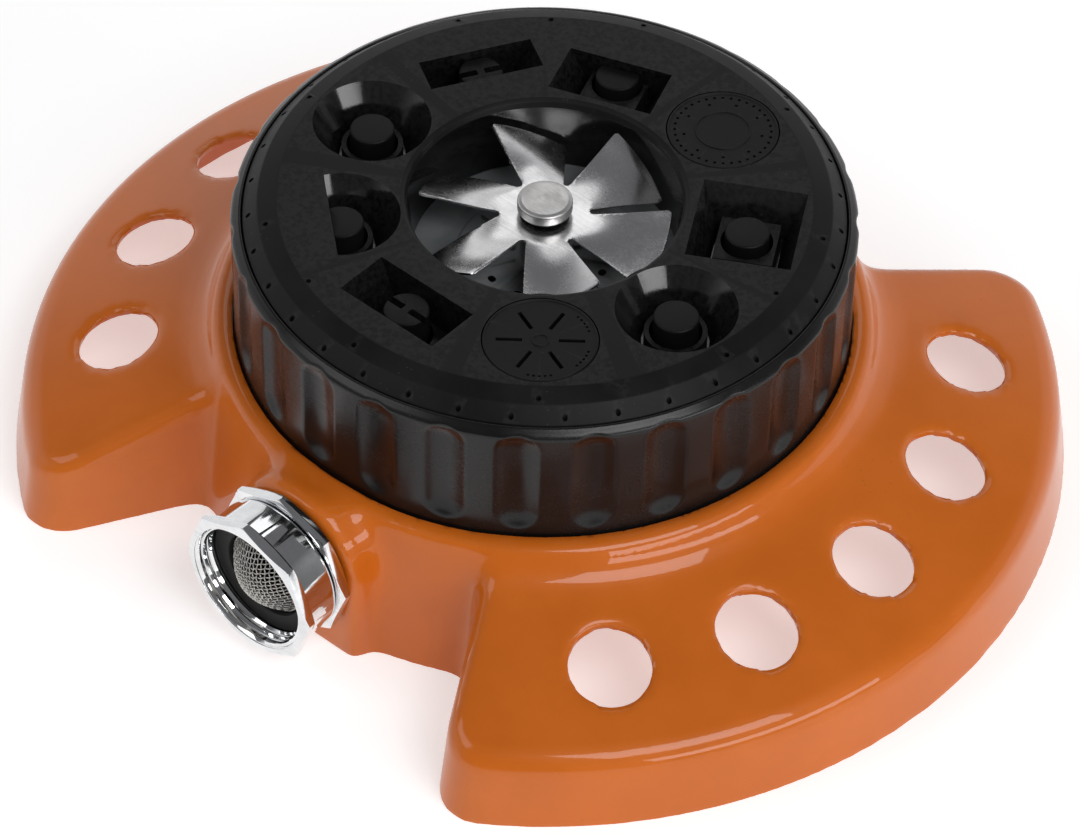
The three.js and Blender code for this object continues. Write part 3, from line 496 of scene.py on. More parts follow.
def surface_grain():
    """Fine grain for bump, a slow blotch for colour, and small specks of dust."""
    inputs = {"Vector": None, "Grain": 4000.0, "Blotch": 60.0, "Specks": 900.0}
    group, entry, last = new_group("surface_grain", inputs, ("Grain", "Blotch", "Specks"))
    vector = entry.outputs["Vector"]
    fine = noise(group, vector, entry.outputs["Grain"], 2.0)
    slow = noise(group, vector, entry.outputs["Blotch"], 4.0)
    dots = add_node(group, "ShaderNodeTexVoronoi", {"Vector": vector, "Scale": entry.outputs["Specks"]})
    near = Field(group, dots.outputs["Distance"])
    sparse = fitted(noise(group, vector, entry.outputs["Blotch"], 2.0), 0.52, 0.68)
    feed(group, fine, last.inputs["Grain"])
    feed(group, fitted(slow, 0.3, 0.7), last.inputs["Blotch"])
    feed(group, (1 - fitted(near, 0.06, 0.14)) * sparse, last.inputs["Specks"])
    return group


def rubbed_lines():
    """Fine lines along X, from a noise that is squeezed across them."""
    inputs = {"Vector": None, "Lines": 6000.0, "Length": 60.0}
    group, entry, last = new_group("rubbed_lines", inputs, ("Lines", "Patches"))
    parts = add_node(group, "ShaderNodeSeparateXYZ", {0: entry.outputs["Vector"]})
    along, across, up = [Field(group, parts.outputs[i]) for i in range(3)]
    long = Field(group, entry.outputs["Length"])
    tight = Field(group, entry.outputs["Lines"])
    squeezed = add_node(group, "ShaderNodeCombineXYZ", {0: along * long, 1: across * tight, 2: up * tight})
    lines = noise(group, squeezed.outputs[0], 1.0, 3.0, 0.7)
    patches = noise(group, entry.outputs["Vector"], long * 2, 3.0)
    feed(group, fitted(lines, 0.3, 0.7), last.inputs["Lines"])
    feed(group, fitted(patches, 0.35, 0.65), last.inputs["Patches"])
    return group


def edge_touch():
    """A mask along convex edges, broken up by noise, where paint thins and metal brightens."""
    group, entry, last = new_group("edge_touch", {"Vector": None, "Start": 0.52, "End": 0.6}, ("Edge",))
    shape = add_node(group, "ShaderNodeNewGeometry")
    point = Field(group, shape.outputs["Pointiness"])
    edge = add_node(group, "ShaderNodeMapRange", {"Value": point, "From Min": entry.outputs["Start"]})
    feed(group, entry.outputs["End"], edge.inputs["From Max"])
    broken = fitted(noise(group, entry.outputs["Vector"], 900.0, 3.0), 0.35, 0.6)
    feed(group, Field(group, edge.outputs["Result"]) * broken, last.inputs["Edge"])
    return group


GRAIN, RUBBED, EDGES = surface_grain(), rubbed_lines(), edge_touch()
print("shader groups:", GRAIN.name, RUBBED.name, EDGES.name)


# %% [markdown]
# ### A finish
# One small class wraps the Principled shader, so that a finish reads as a list of what feeds it.

# %% Helpers for a finish
class Finish:
    """A material with one Principled shader, and shortcuts to what feeds it."""

    def __init__(self, name, **uniform):
        self.material = bpy.data.materials.new(name)
        self.material.use_nodes = True
        self.tree = self.material.node_tree
        self.shader = self.tree.nodes["Principled BSDF"]
        for label, value in uniform.items():
            self.shader.inputs[label.replace("_", " ")].default_value = value
        self.vector = add_node(self.tree, "ShaderNodeTexCoord").outputs["Object"]

    def group(self, group, vector=None, **values):
        node = add_node(self.tree, "ShaderNodeGroup", node_tree=group)
        feed(self.tree, vector or self.vector, node.inputs["Vector"])
        for label, value in values.items():
            node.inputs[label].default_value = value
        return {output.name: Field(self.tree, output) for output in node.outputs}

    def colour(self, mask, low, high):
        node = add_node(self.tree, "ShaderNodeMix", data_type="RGBA")
        feed(self.tree, mask, node.inputs[0])
        for slot, value in ((6, low), (7, high)):
            if isinstance(value, tuple):
                node.inputs[slot].default_value = (*value, 1)
            else:
                feed(self.tree, value, node.inputs[slot])
        return node.outputs[2]

    def feed(self, **sockets):
        for label, value in sockets.items():
            feed(self.tree, value, self.shader.inputs[label.replace("_", " ")])

    def bump(self, height, distance, strength=1.0, after=None):
        """A bump whose full height is the given distance in millimetres."""
        node = add_node(self.tree, "ShaderNodeBump", {"Height": height, "Strength": strength})
        node.inputs["Distance"].default_value = distance * MM
        if after:
            feed(self.tree, after, node.inputs["Normal"])
        feed(self.tree, node.outputs["Normal"], self.shader.inputs["Normal"])
        return node.outputs["Normal"]


# %% [markdown]
# ### Orange enamel
# The casting is sprayed with a thick gloss enamel. Gloss paint is a pigmented body under a clear, slightly
# wavy surface, so the shader has a full coat, a very shallow orange-peel bump, and a body that turns a
# little redder and browner where the film is thin on the edges.

# %% Enamel
def enamel():
    finish = Finish("orange_enamel", IOR=1.5, Coat_Weight=0.55, Coat_Roughness=0.025, Coat_IOR=1.5)
    finish.shader.inputs["Specular IOR Level"].default_value = 0.15
    skin = finish.group(GRAIN, Grain=650.0, Blotch=45.0, Specks=500.0)
    edge = finish.group(EDGES, Start=0.515, End=0.6)["Edge"]
    body = finish.colour(skin["Blotch"], (0.56, 0.124, 0.008), (0.61, 0.138, 0.010))
    body = finish.colour(edge * 0.3, body, (0.66, 0.24, 0.05))
    body = finish.colour(skin["Specks"] * 0.5, body, (0.34, 0.10, 0.02))
    finish.feed(Base_Color=body, Roughness=skin["Blotch"] * 0.12 + 0.3)
    finish.bump(skin["Grain"], 0.02, 0.22)
    return finish.material


ENAMEL = enamel()


# %% [markdown]
# ### Black plastics
# The turret is moulded in black nylon. Its face and lip come off a finely grained mould wall, the grip is a
# little smoother, and the walls of the spray pockets come off polished steel cores, so they mirror the light.

# %% Black plastics
def black_plastic(name, shade, roughness, grain, depth, line=0.0, shine=0.5):
    finish = Finish(name, IOR=1.5, Specular_IOR_Level=shine)
    skin = finish.group(GRAIN, Grain=grain, Blotch=70.0, Specks=700.0)
    edge = finish.group(EDGES, Start=0.53, End=0.62)["Edge"]
    body = finish.colour(skin["Blotch"], tuple(v * 0.8 for v in shade), tuple(v * 1.25 for v in shade))
    body = finish.colour(edge * 0.6, body, tuple(v * 2.2 + 0.004 for v in shade))
    body = finish.colour(skin["Specks"] * 0.4, body, (0.09, 0.085, 0.08))
    rub = finish.group(RUBBED, Lines=2600.0, Length=160.0)["Lines"]
    rough = skin["Blotch"] * 0.08 + rub * 0.05 + (roughness - 0.06)
    finish.feed(Base_Color=body, Roughness=rough)
    finish.bump(skin["Grain"] + rub * line, depth, 0.5)
    return finish.material


FACE_BLACK = black_plastic("face_plastic", (0.0068, 0.0068, 0.007), 0.46, 5200.0, 0.018, shine=0.14)
GRIP_BLACK = black_plastic("grip_plastic", (0.006, 0.0058, 0.0057), 0.25, 3000.0, 0.006, shine=0.32)
CORE_BLACK = black_plastic("core_polished_plastic", (0.004, 0.004, 0.0042), 0.13, 2500.0, 0.004, 0.4)
HIDDEN_BLACK = black_plastic("inner_plastic", (0.005, 0.005, 0.005), 0.5, 2600.0, 0.02, shine=0.3)


# %% [markdown]
# ### Metals
# Chrome is nearly a mirror, with faint smears and pits. The fan is bright rolled sheet, so its scratches run
# along the sheet. The rivet is satin, and the wires and screws are plain drawn steel.

# %% Metals
def metal(name, shade, roughness, spread, lines=4000.0, length=90.0, depth=0.004, pits=0.0):
    finish = Finish(name, Metallic=1.0)
    skin = finish.group(GRAIN, Grain=1800.0, Blotch=160.0, Specks=1500.0)
    rub = finish.group(RUBBED, Lines=lines, Length=length)
    dull = tuple(v * 0.8 for v in shade)
    body = finish.colour(skin["Blotch"] * 0.6 + rub["Lines"] * 0.3, shade, dull)
    body = finish.colour(skin["Specks"] * pits, body, (0.05, 0.045, 0.04))
    rough = rub["Lines"] * spread + skin["Blotch"] * spread * 0.8 + roughness
    finish.feed(Base_Color=body, Roughness=rough + skin["Specks"] * 0.2 * pits)
    finish.bump(rub["Lines"] + skin["Grain"] * 0.5, depth, 0.4)
    return finish.material


CHROME = metal("chrome_plate", (0.86, 0.87, 0.88), 0.03, 0.04, 1200.0, 200.0, 0.0012, 0.8)
SHEET = metal("bright_sheet", (0.74, 0.74, 0.745), 0.13, 0.12, 7000.0, 70.0, 0.003, 0.5)
RIVET = metal("satin_rivet", (0.62, 0.61, 0.6), 0.3, 0.14, 2500.0, 500.0, 0.01, 0.6)
WIRE = metal("drawn_wire", (0.56, 0.545, 0.51), 0.2, 0.12, 3000.0, 300.0, 0.003)
ZINC = metal("zinc_plate", (0.5, 0.5, 0.48), 0.34, 0.14, 2500.0, 200.0, 0.006, 0.6)


# %% [markdown]
# ### Nylon and rubber
# The jet plate is pale nylon with a little light inside it, and the seals are dull black rubber.

# %% Nylon and rubber
def nylon():
    finish = Finish("pale_nylon", IOR=1.5, Subsurface_Weight=0.15, Subsurface_Scale=0.001)
    skin = finish.group(GRAIN, Grain=2600.0, Blotch=120.0, Specks=800.0)
    body = finish.colour(skin["Blotch"], (0.17, 0.18, 0.185), (0.24, 0.25, 0.26))
    body = finish.colour(skin["Specks"], body, (0.12, 0.11, 0.1))
    finish.feed(Base_Color=body, Roughness=skin["Blotch"] * 0.15 + 0.42)
    finish.bump(skin["Grain"], 0.012, 0.5)
    return finish.material


def rubber():
    finish = Finish("black_rubber", IOR=1.45)
    skin = finish.group(GRAIN, Grain=1600.0, Blotch=200.0, Specks=900.0)
    body = finish.colour(skin["Blotch"], (0.008, 0.008, 0.008), (0.02, 0.019, 0.018))
    finish.feed(Base_Color=body, Roughness=skin["Blotch"] * 0.15 + 0.62)
    finish.bump(skin["Grain"], 0.03, 0.6)
    return finish.material


NYLON, RUBBER = nylon(), rubber()
print("finishes:", ", ".join(sorted(material.name for material in bpy.data.materials)))

# %% [markdown]
# ## The cast base
# The real base is one die casting: a hub with a bowl for the turret, two hollow wings on a gentle cone, and
# a saddle for the inlet. Its character is in the soft fillets where these meet. A distance field makes that
# easy: each form is a formula, a smooth minimum joins two forms with a fillet, and a second, inset copy of
# the same field hollows it to an even skin. The field fills a volume, and the volume becomes a mesh.

# %% Sizes of the casting
SKIN = 2.2
WING_HALF_ANGLE = math.radians(60)
WING_CORNER = 9.5
WING_EDGE = (108, 15.8)  # radius and height of the edge under the coned top
WING_SLOPE = 0.324
WALL_DRAFT = 0.158
EDGE_ROUND = 3
HOLE_RING, HOLE_RADIUS, HOLE_STEP = 88.3, 8.33, 20
TRIM, FOOT_SPARE = 0.7, 1.3  # metal left for the machining that follows
HUB_BORE = GRIP_RADIUS + 0.5
HUB_TOP = DECK_TOP + 4.1
HUB_GROUND, HUB_DRAFT = 72.5, 0.138
DECK = 2.5
BOSS_RADIUS, BOSS_FACE, BOSS_CREST = 16.4, 75.2, HUB_TOP + 3.2
DUCT_BORE, DUCT_RADIUS = 6.6, 9.0
NIPPLE_BORE, NIPPLE_FLOOR = 10.8, 66.2
SEAL_POCKET = (9.3, 1.2)
PORT_RADIUS, PIVOT_RADIUS = 5.4, 3.7
VOXEL = 1.12


# %% [markdown]
# ### The casting as a formula
# Each function below is the distance to one form. The last one joins them and hollows the result.

# %% The casting's field
def wing_field(x, y, z, r):
    """Both wings at once: the sign of X is dropped."""
    rim = (r + z * WALL_DRAFT - WING_RADIUS) * math.cos(math.atan(WALL_DRAFT))
    side = y.math("ABSOLUTE") * math.cos(WING_HALF_ANGLE) + z * (WALL_DRAFT / 2)
    side = side - x.math("ABSOLUTE") * math.sin(WING_HALF_ANGLE)
    edge_radius, edge_height = WING_EDGE
    top = (z + r * WING_SLOPE - (edge_height + edge_radius * WING_SLOPE))
    top = top * math.cos(math.atan(WING_SLOPE))
    return round_corner(round_corner(rim, side, WING_CORNER), top, EDGE_ROUND)


def hub_wall_field(z, r):
    return (r + z * HUB_DRAFT - HUB_GROUND) * math.cos(math.atan(HUB_DRAFT))


def boss_field(x, y, z):
    """The inlet's saddle: an arch with straight legs, cut off in front, falling back to the rim."""
    arch = hypot(x, greater(z - INLET_HEIGHT, 0)) - BOSS_RADIUS
    front = -y - BOSS_FACE
    rise = (BOSS_CREST - HUB_TOP) / (BOSS_FACE - 3 - (HUB_BORE + 2.5))
    fall = (z + y * rise - (HUB_TOP - (HUB_BORE + 2.5) * rise)) * math.cos(math.atan(rise))
    top = greater(fall, z - BOSS_CREST, 2)
    return greater(round_corner(arch, front, 2.2), top, 3)


def hole_field(x, y, r):
    """Five round holes in each wing, from one hole and a folded angle."""
    step = math.radians(HOLE_STEP)
    angle = y.math("ARCTAN2", x.math("ABSOLUTE"))
    nearest = lesser(greater((angle / step).math("ROUND"), -2), 2)
    angle = angle - nearest * step
    along = r * angle.math("COSINE") - HOLE_RING
    return hypot(along, r * angle.math("SINE")) - (HOLE_RADIUS - TRIM)


def casting_field(x, y, z, skin, fillet):
    r = hypot(x, y)
    wall = hub_wall_field(z, r)
    hub = round_corner(wall, z - HUB_TOP, 1.5)
    boss = boss_field(x, y, z)
    wing = wing_field(x, y, z, r)
    outside = lesser(wing, hub, fillet)
    outside = lesser(outside, boss, fillet * 0.7)
    shell = greater(outside, -(outside + skin))
    band = greater(greater(wall, -(wall + skin)), -(wing + skin))
    rim = greater(greater(outside, HUB_BORE - r), (DECK_TOP - DECK) - z)
    deck = greater((z - (DECK_TOP - DECK / 2)).math("ABSOLUTE") - DECK / 2, r - (HUB_BORE + 2))
    pipe = hypot(x, z - INLET_HEIGHT)
    duct = greater(pipe - DUCT_RADIUS, greater(y + (STATION_RING - DUCT_RADIUS), -y - (HUB_BORE + 2)))
    saddle = greater(boss, y + (HUB_BORE + 0.7))
    body = lesser(lesser(shell, greater(band, z - DECK_TOP), 1.5), lesser(rim, lesser(deck, duct, 2)))
    body = lesser(body, greater(saddle, outside))
    bowl = greater(r - (HUB_BORE - TRIM), DECK_TOP - z)
    nipple = greater(pipe - NIPPLE_BORE, y + NIPPLE_FLOOR)
    water = greater(pipe - DUCT_BORE, y + (STATION_RING - DUCT_BORE))
    port = greater(hypot(x, y + STATION_RING) - PORT_RADIUS, INLET_HEIGHT - z)
    seat_radius, seat_depth = SEAL_POCKET
    seat = greater(hypot(x, y + STATION_RING) - seat_radius, DECK_TOP - seat_depth - z)
    pivot = r - PIVOT_RADIUS
    for hollow, blend in ((bowl, 1.6), (nipple, 0), (water, 0), (port, 0), (seat, 0), (pivot, 0)):
        body = greater(body, -hollow, blend)
    body = greater(body, -hole_field(x, y, r), 2.6)
    return greater(body, -FOOT_SPARE - z)


# %% [markdown]
# ### From field to casting
# The mesh comes out slightly oversize. The holes, the bowl and the foot are then cut exactly, as on the real
# part, where they are machined.

# %% The casting
def machined(piece):
    """Trims the wing holes, the bowl and the foot, which leaves clean edges on the soft casting."""
    holes = []
    for side in (90, -90):
        for place in range(-2, 3):
            drill = peg("drill", HOLE_RADIUS, -3, DECK_TOP + 8, ENAMEL, 96)
            spot = turn(side + place * HOLE_STEP) @ shift(y=-HOLE_RING)
            holes.append(placed(drill, spot))
    bowl = peg("bowl", HUB_BORE, DECK_TOP + 1.8, HUB_TOP + 9, ENAMEL, 192)
    half = WING_RADIUS + 9
    foot = bar((-half, half), (-half, half), (-3 - FOOT_SPARE, 0), ENAMEL)
    cut(piece, [foot])
    return cut(piece, [*holes, bowl])


def cast_base():
    sizes, cells = ("Skin", "Fillet", "Half X", "Half Y", "Top"), ("Cells X", "Cells Y", "Cells Z")
    tree, entry, size = new_tree("cast_base", sizes, cells)
    x, y, z = position_fields(tree)
    body = casting_field(x, y, z, size["Skin"], size["Fillet"])
    low = add_node(tree, "ShaderNodeCombineXYZ", {0: -size["Half X"], 1: -size["Half Y"], 2: -0.0023})
    high = add_node(tree, "ShaderNodeCombineXYZ", {0: size["Half X"], 1: size["Half Y"], 2: size["Top"]})
    cube = add_node(tree, "GeometryNodeVolumeCube", {"Density": -body, "Background": -1.0})
    for label, end in (("Min", low), ("Max", high)):
        feed(tree, end.outputs[0], cube.inputs[label])
    for letter in "XYZ":
        feed(tree, size[f"Cells {letter}"], cube.inputs[f"Resolution {letter}"])
    skin = add_node(tree, "GeometryNodeVolumeToMesh", {"Volume": cube.outputs[0], "Threshold": 0.0})
    end_tree(tree, entry, skin.outputs[0])
    piece = mesh_piece("cast_base", [], [], ENAMEL)
    half_x, half_y, top = WING_RADIUS + 2, 94.0, BOSS_CREST + 2
    run_tree(
        piece, tree, skin=SKIN, fillet=9.0, half_x=half_x * MM, half_y=half_y * MM, top=top * MM,
        cells_x=round(2 * half_x / VOXEL), cells_y=round(2 * half_y / VOXEL),
        cells_z=round((top + 2.3) / VOXEL), finish=ENAMEL,
    )
    modifier = piece.modifiers.new("settle", "SMOOTH")
    modifier.factor, modifier.iterations = 0.5, 2
    plain_mesh(piece)
    machined(piece)
    return dress(piece, "base", "enamel", "base_casting", sharp=60)


base = cast_base()
print("casting spans", [round(v / MM, 1) for v in base.dimensions])

# %% [markdown]
# ## Things in rings
# Jets, perforations and spokes all repeat about an axis. One small recipe carries a mesh round a circle, with
# its count, radius and starting angle as inputs, and serves every ring on the turret.

# %% A recipe for rings
def ring_tree():
    tree, entry, size = new_tree("copies_round", ("Radius", "Start", "Step"), ("Count",))
    line = add_node(tree, "GeometryNodeMeshLine")
    feed(tree, size["Count"], line.inputs["Count"])
    index = Field(tree, add_node(tree, "GeometryNodeInputIndex").outputs[0])
    angle = index * size["Step"] + size["Start"]
    spot = add_node(tree, "ShaderNodeCombineXYZ")
    feed(tree, size["Radius"] * angle.math("SINE"), spot.inputs[0])
    feed(tree, -(size["Radius"] * angle.math("COSINE")), spot.inputs[1])
    points = add_node(tree, "GeometryNodeSetPosition", {"Geometry": line.outputs[0]})
    feed(tree, spot.outputs[0], points.inputs["Position"])
    facing = add_node(tree, "ShaderNodeCombineXYZ", {2: angle})
    copies = add_node(tree, "GeometryNodeInstanceOnPoints", {"Points": points.outputs[0]})
    feed(tree, entry.outputs["Geometry"], copies.inputs["Instance"])
    feed(tree, facing.outputs[0], copies.inputs["Rotation"])
    return end_tree(tree, entry, copies.outputs[0])


RING = ring_tree()


def ring_of(piece, count, radius, start=0.0, step=None):
    """Copies of a mesh made on the axis, carried out to a radius and round from the inlet's side."""
    step = 360 / count if step is None else step
    finish = piece.data.materials[0]
    return run_tree(piece, RING, radius=radius * MM, start=math.radians(start), step=math.radians(step),
                    count=count, finish=finish)

# %% [markdown]
# ## The grip
# The turret is turned by hand, so its skirt is cut with 27 upright flutes with round ends. Each flute is what
# a ball-nosed tool leaves. A fine lathe mesh is made first, and a recipe then pushes its wall inwards by a
# rule: the distance from the nearest flute's centre line decides the depth.

# %% Grip
FLUTES = 27
FLUTE_HALF_WIDTH, FLUTE_DEPTH = 4.35, 1.35
FLUTE_ENDS = (GRIP_LOW + 4.0, GRIP_HIGH - 0.7)
GRIP_BORE = GRIP_RADIUS - 2.2


def flute_tree():
    tree, entry, size = new_tree("flutes", ("Half Width", "Depth", "Low", "High", "Bore"), ("Count",))
    x, y, z = position_fields(tree)
    r = hypot(x, y)
    step = math.tau / size["Count"]
    angle = y.math("ARCTAN2", x)
    across = (angle - (angle / step).math("ROUND") * step) * r
    middle = (size["Low"] + size["High"]) * 0.5
    reach = (size["High"] - size["Low"]) * 0.5 - size["Half Width"]
    past_end = greater((z - middle).math("ABSOLUTE") - reach, 0)
    share = hypot(across, past_end) / size["Half Width"]
    depth = greater(1 - share * share, 0, 0.14) * size["Depth"]
    outside = r.math("GREATER_THAN", size["Bore"] + 0.6)
    pull = depth * outside * (-MM) / r
    push = add_node(tree, "ShaderNodeCombineXYZ", {0: x * pull, 1: y * pull})
    moved = add_node(tree, "GeometryNodeSetPosition")
    feed(tree, entry.outputs["Geometry"], moved.inputs["Geometry"])
    feed(tree, push.outputs[0], moved.inputs["Offset"])
    return end_tree(tree, entry, moved.outputs[0])


def grip():
    rows = 52
    wall_low, wall_high = GRIP_LOW + 0.5, GRIP_HIGH - 1.6
    wall = [(GRIP_RADIUS, wall_low + (wall_high - wall_low) * i / rows) for i in range(rows + 1)]
    shoulder = [(GRIP_RADIUS - 0.6 * t - 0.9 * t * t, wall_high + (1.35 + 0.25 * (1 - t)) * t) for t in
                (0.2, 0.4, 0.6, 0.8)]
    profile = [(GRIP_BORE, GRIP_LOW), (GRIP_RADIUS - 0.5, GRIP_LOW), *wall, *shoulder,
               (GRIP_RADIUS - 1.55, GRIP_HIGH - 0.12), (GRIP_RADIUS - 1.7, GRIP_HIGH),
               (GRIP_BORE + 0.15, GRIP_HIGH), (GRIP_BORE, GRIP_HIGH - 0.15)]
    piece = turned("grip_sleeve", profile, GRIP_BLACK, steps=FLUTES * 26)
    run_tree(piece, flute_tree(), half_width=FLUTE_HALF_WIDTH, depth=FLUTE_DEPTH, low=FLUTE_ENDS[0],
             high=FLUTE_ENDS[1], bore=GRIP_BORE, count=FLUTES, finish=GRIP_BLACK)
    return dress(piece, "turret", "black_plastic", "grip_ring", sharp=40)


grip()

# %% [markdown]
# ## Spray stations
# Nine stations lie 40 degrees apart. Seven of them are pockets with a stud in the middle, and water leaves
# through the ring-shaped gap round the stud. A pocket is a square funnel, a cone, a slot, or half of one of
# those, cut off by an upright wall. Two stations are perforated discs. One table describes them all.

# %% The table of stations
STUD_RADIUS, NOZZLE_RADIUS = 4.6, 5.35
POCKET_FLOOR = FACE_TOP - 9
COLLAR_TOP = FACE_TOP - 4.7
DISC_RADIUS = 11.5
SLOT = {"across": (8, 12.2), "slot": True}
SQUARE = {"across": (6.6, 11.2), "near": (34.6, 30.6)}
STATIONS = {
    "slotted_stud_front": {"step": 0, **SLOT, "near": (36, 35.5), "far": (47, 47.5)},
    "cone_stud_right": {"step": 2, "cone": (6.8, 12.3)},
    "square_stud_right": {"step": 3, **SQUARE, "far": (48.2, 52), "collar": True},
    "square_stud_rear": {"step": 5, **SQUARE, "far": (43.5, 43.5), "flat": 43.5, "collar": True},
    "slotted_stud_rear": {"step": 6, **SLOT, "near": (37.2, 37.2), "far": (45.8, 45.8)},
    "cone_stud_left": {"step": 7, "cone": (6.8, 12.2)},
    "cone_stud_front": {"step": 8, "cone": (6.8, 12), "flat": 43.6},
}
DISC_STEPS = {"mist_disc": 1, "shower_disc": 4}


def station_turn(step):
    return turn(step * STATION_STEP)


def pocket_outline(station, height, skin):
    """Where a pocket's walls are at a height, as (x, y) points in front of the axis."""
    t = (height - POCKET_FLOOR) / (FACE_TOP - POCKET_FLOOR)
    at = {key: station[key][0] + (station[key][1] - station[key][0]) * t for key in
          ("across", "near", "far", "cone") if key in station}
    flat = -station.get("flat", 99) - skin
    if "cone" in at:
        radius, steps = at["cone"] + skin, 72
        angles = [math.tau * i / steps for i in range(steps)]
        spots = [(radius * math.cos(angle), radius * math.sin(angle) - STATION_RING) for angle in angles]
        return [(x, max(y, flat)) for x, y in spots]
    across, near, far = at["across"] + skin, skin - at["near"], -at["far"] - skin
    return [(-across, far), (across, far), (across, near), (-across, near)]


def pocket(station, skin, low, high, finish):
    shape = prism("pocket", pocket_outline(station, low, skin), low, high, finish,
                  pocket_outline(station, high, skin))
    return placed(shape, station_turn(station["step"]))


def flattened(piece, low_y, high_y=99.0):
    """Presses points past a wall back onto it, which leaves a flat there."""
    for vertex in piece.data.vertices:
        vertex.co.y = min(max(vertex.co.y, low_y * MM), high_y * MM)
    return piece


# %% [markdown]
# ## The pattern face
# The face is one moulding: a flat dial with two bevels, the well over the fan, the seven pockets and the
# rings of fine jets. The rounded profile is spun first, and the pockets are then cut with solids of their own
# shape. The cutters carry the mirror finish of polished cores, which the cut walls keep.

# %% Pattern face
WELL_RADIUS, WELL_BORE, WELL_WALL = 28.3, 27.1, 2.4
JET_RINGS = ((36, 60.0, 5.0), (9, 56.8, 0.0), (3, 53.5, 100.0))
JET_RADIUS = 0.56


def face_blank():
    rim, bevel = GRIP_HIGH, FACE_TOP - 1.3
    under, rim_under = FACE_TOP - 2.8, GRIP_HIGH - 1.7
    profile = [(WELL_BORE, FACE_FOOT), (WELL_BORE + WELL_WALL, FACE_FOOT), (WELL_BORE + WELL_WALL, under),
               (56.2, under), (57.2, rim_under), (FACE_RADIUS, rim_under), (FACE_RADIUS, rim, 0.35),
               (58.2, bevel, 1.2), (54.3, FACE_TOP, 1.0), (WELL_RADIUS + 0.9, FACE_TOP, 0.3),
               (WELL_RADIUS + 0.1, FACE_TOP - 0.5, 0.3), (WELL_RADIUS - 0.4, FACE_TOP - 1.6, 0.3),
               (WELL_BORE, FACE_TOP - 6)]
    piece = turned("pattern_dial", profile, FACE_BLACK, steps=216)
    piece.data.materials.append(CORE_BLACK)
    for face in piece.data.polygons:
        on_well = math.hypot(*face.center[:2]) < WELL_RADIUS * MM and face.center.z < (FACE_TOP - 1.6) * MM
        face.material_index = int(on_well)
    return piece


def collar(station):
    """The pedestal round a nozzle."""
    reach = NOZZLE_RADIUS + 0.75
    if not station.get("collar"):
        shape = peg("collar", reach + 0.25, POCKET_FLOOR - 1, COLLAR_TOP - 1.5, FACE_BLACK, 48)
        flattened(placed(shape, shift(y=-STATION_RING)), -station.get("flat", 99) - 0.8)
    else:
        far = max(-STATION_RING - reach, -station.get("flat", 99) - 0.8)
        shape = bar((-reach, reach), (far, reach - STATION_RING), (POCKET_FLOOR - 1, COLLAR_TOP), FACE_BLACK)
    return placed(shape, station_turn(station["step"]))


def nozzle(station):
    shape = peg("nozzle", NOZZLE_RADIUS, POCKET_FLOOR - 4, COLLAR_TOP + 1, HIDDEN_BLACK, 48)
    flattened(placed(shape, shift(y=-STATION_RING)), -station.get("flat", 99))
    return placed(shape, station_turn(station["step"]))


def round_discs(name, spare, below, above, finish, steps=96):
    """A cutter at each disc's station, as far below and above the dial's top as it says."""
    return [placed(peg(name, DISC_RADIUS + spare, FACE_TOP - below, FACE_TOP + above, finish, steps),
                   at_station(step * STATION_STEP)) for step in DISC_STEPS.values()]


def pattern_dial():
    face = face_blank()
    stations = list(STATIONS.values())
    cups = [pocket(station, 1.6, POCKET_FLOOR - 1.6, FACE_TOP - 0.6, FACE_BLACK) for station in stations]
    seats = round_discs("seat", 2, 4.5, -0.6, FACE_BLACK)
    cut(face, cups + seats, "UNION")
    recesses = round_discs("recess", 0.22, 2.3, 1, FACE_BLACK)
    outlets = round_discs("outlet", -2, 6, -2, HIDDEN_BLACK, 48)
    hollows = [pocket(station, 0, POCKET_FLOOR, FACE_TOP + 1, CORE_BLACK) for station in stations]
    cut(face, hollows + recesses)
    cut(face, [collar(station) for station in stations if "slot" not in station], "UNION")
    jets = []
    for count, radius, start in JET_RINGS:
        jet = peg("jet", JET_RADIUS, GRIP_HIGH - 6, FACE_TOP + 1, HIDDEN_BLACK, 10)
        jets.append(ring_of(jet, count, radius, start))
    cut(face, [nozzle(station) for station in stations] + outlets + jets)
    broken_edges(face, 0.16, segments=2)
    return dress(face, "turret", "black_plastic", "pattern_face", sharp=35)


pattern_dial()


# %% [markdown]
# ## Studs and discs
# A stud is a little turned peg with a softened top. Two have a screwdriver slot on either side of a bridge,
# and those in half pockets are flat on one side. The discs drop into round seats flush with the dial.

# %% Studs
def stud(name, station):
    low, high = ends(name)
    stem, shoulder = 3, POCKET_FLOOR - 1
    profile = [(0, low), (stem, low), (stem, shoulder), (STUD_RADIUS, shoulder + 1),
               (STUD_RADIUS, high, 0.45), (0, high)]
    piece = turned(f"{name}_fine", profile, FACE_BLACK, steps=72)
    if "slot" in station:
        width, bridge, depth = 0.75, 0.8, 2.0
        rise = (high - depth, high + 1)
        halves = [bar(sorted((side * bridge, side * 6)), (-width, width), rise, CORE_BLACK) for side in (-1, 1)]
        cut(piece, halves)
        near, far = station["near"][1] - 0.3 - STATION_RING, station["far"][1] - 0.3 - STATION_RING
        flattened(piece, -far, -(near + 0.6))
    piece = placed(piece, shift(y=-STATION_RING))
    if "flat" in station:
        flattened(piece, 0.3 - station["flat"])
    broken_edges(piece, 0.12, segments=2)
    placed(piece, station_turn(station["step"]))
    return dress(piece, "turret", "black_plastic", name)


for name, station in STATIONS.items():
    stud(name, station)


# %% [markdown]
# ### Discs
# One disc has six slots and three short rows of holes. The other has two full rings of holes.

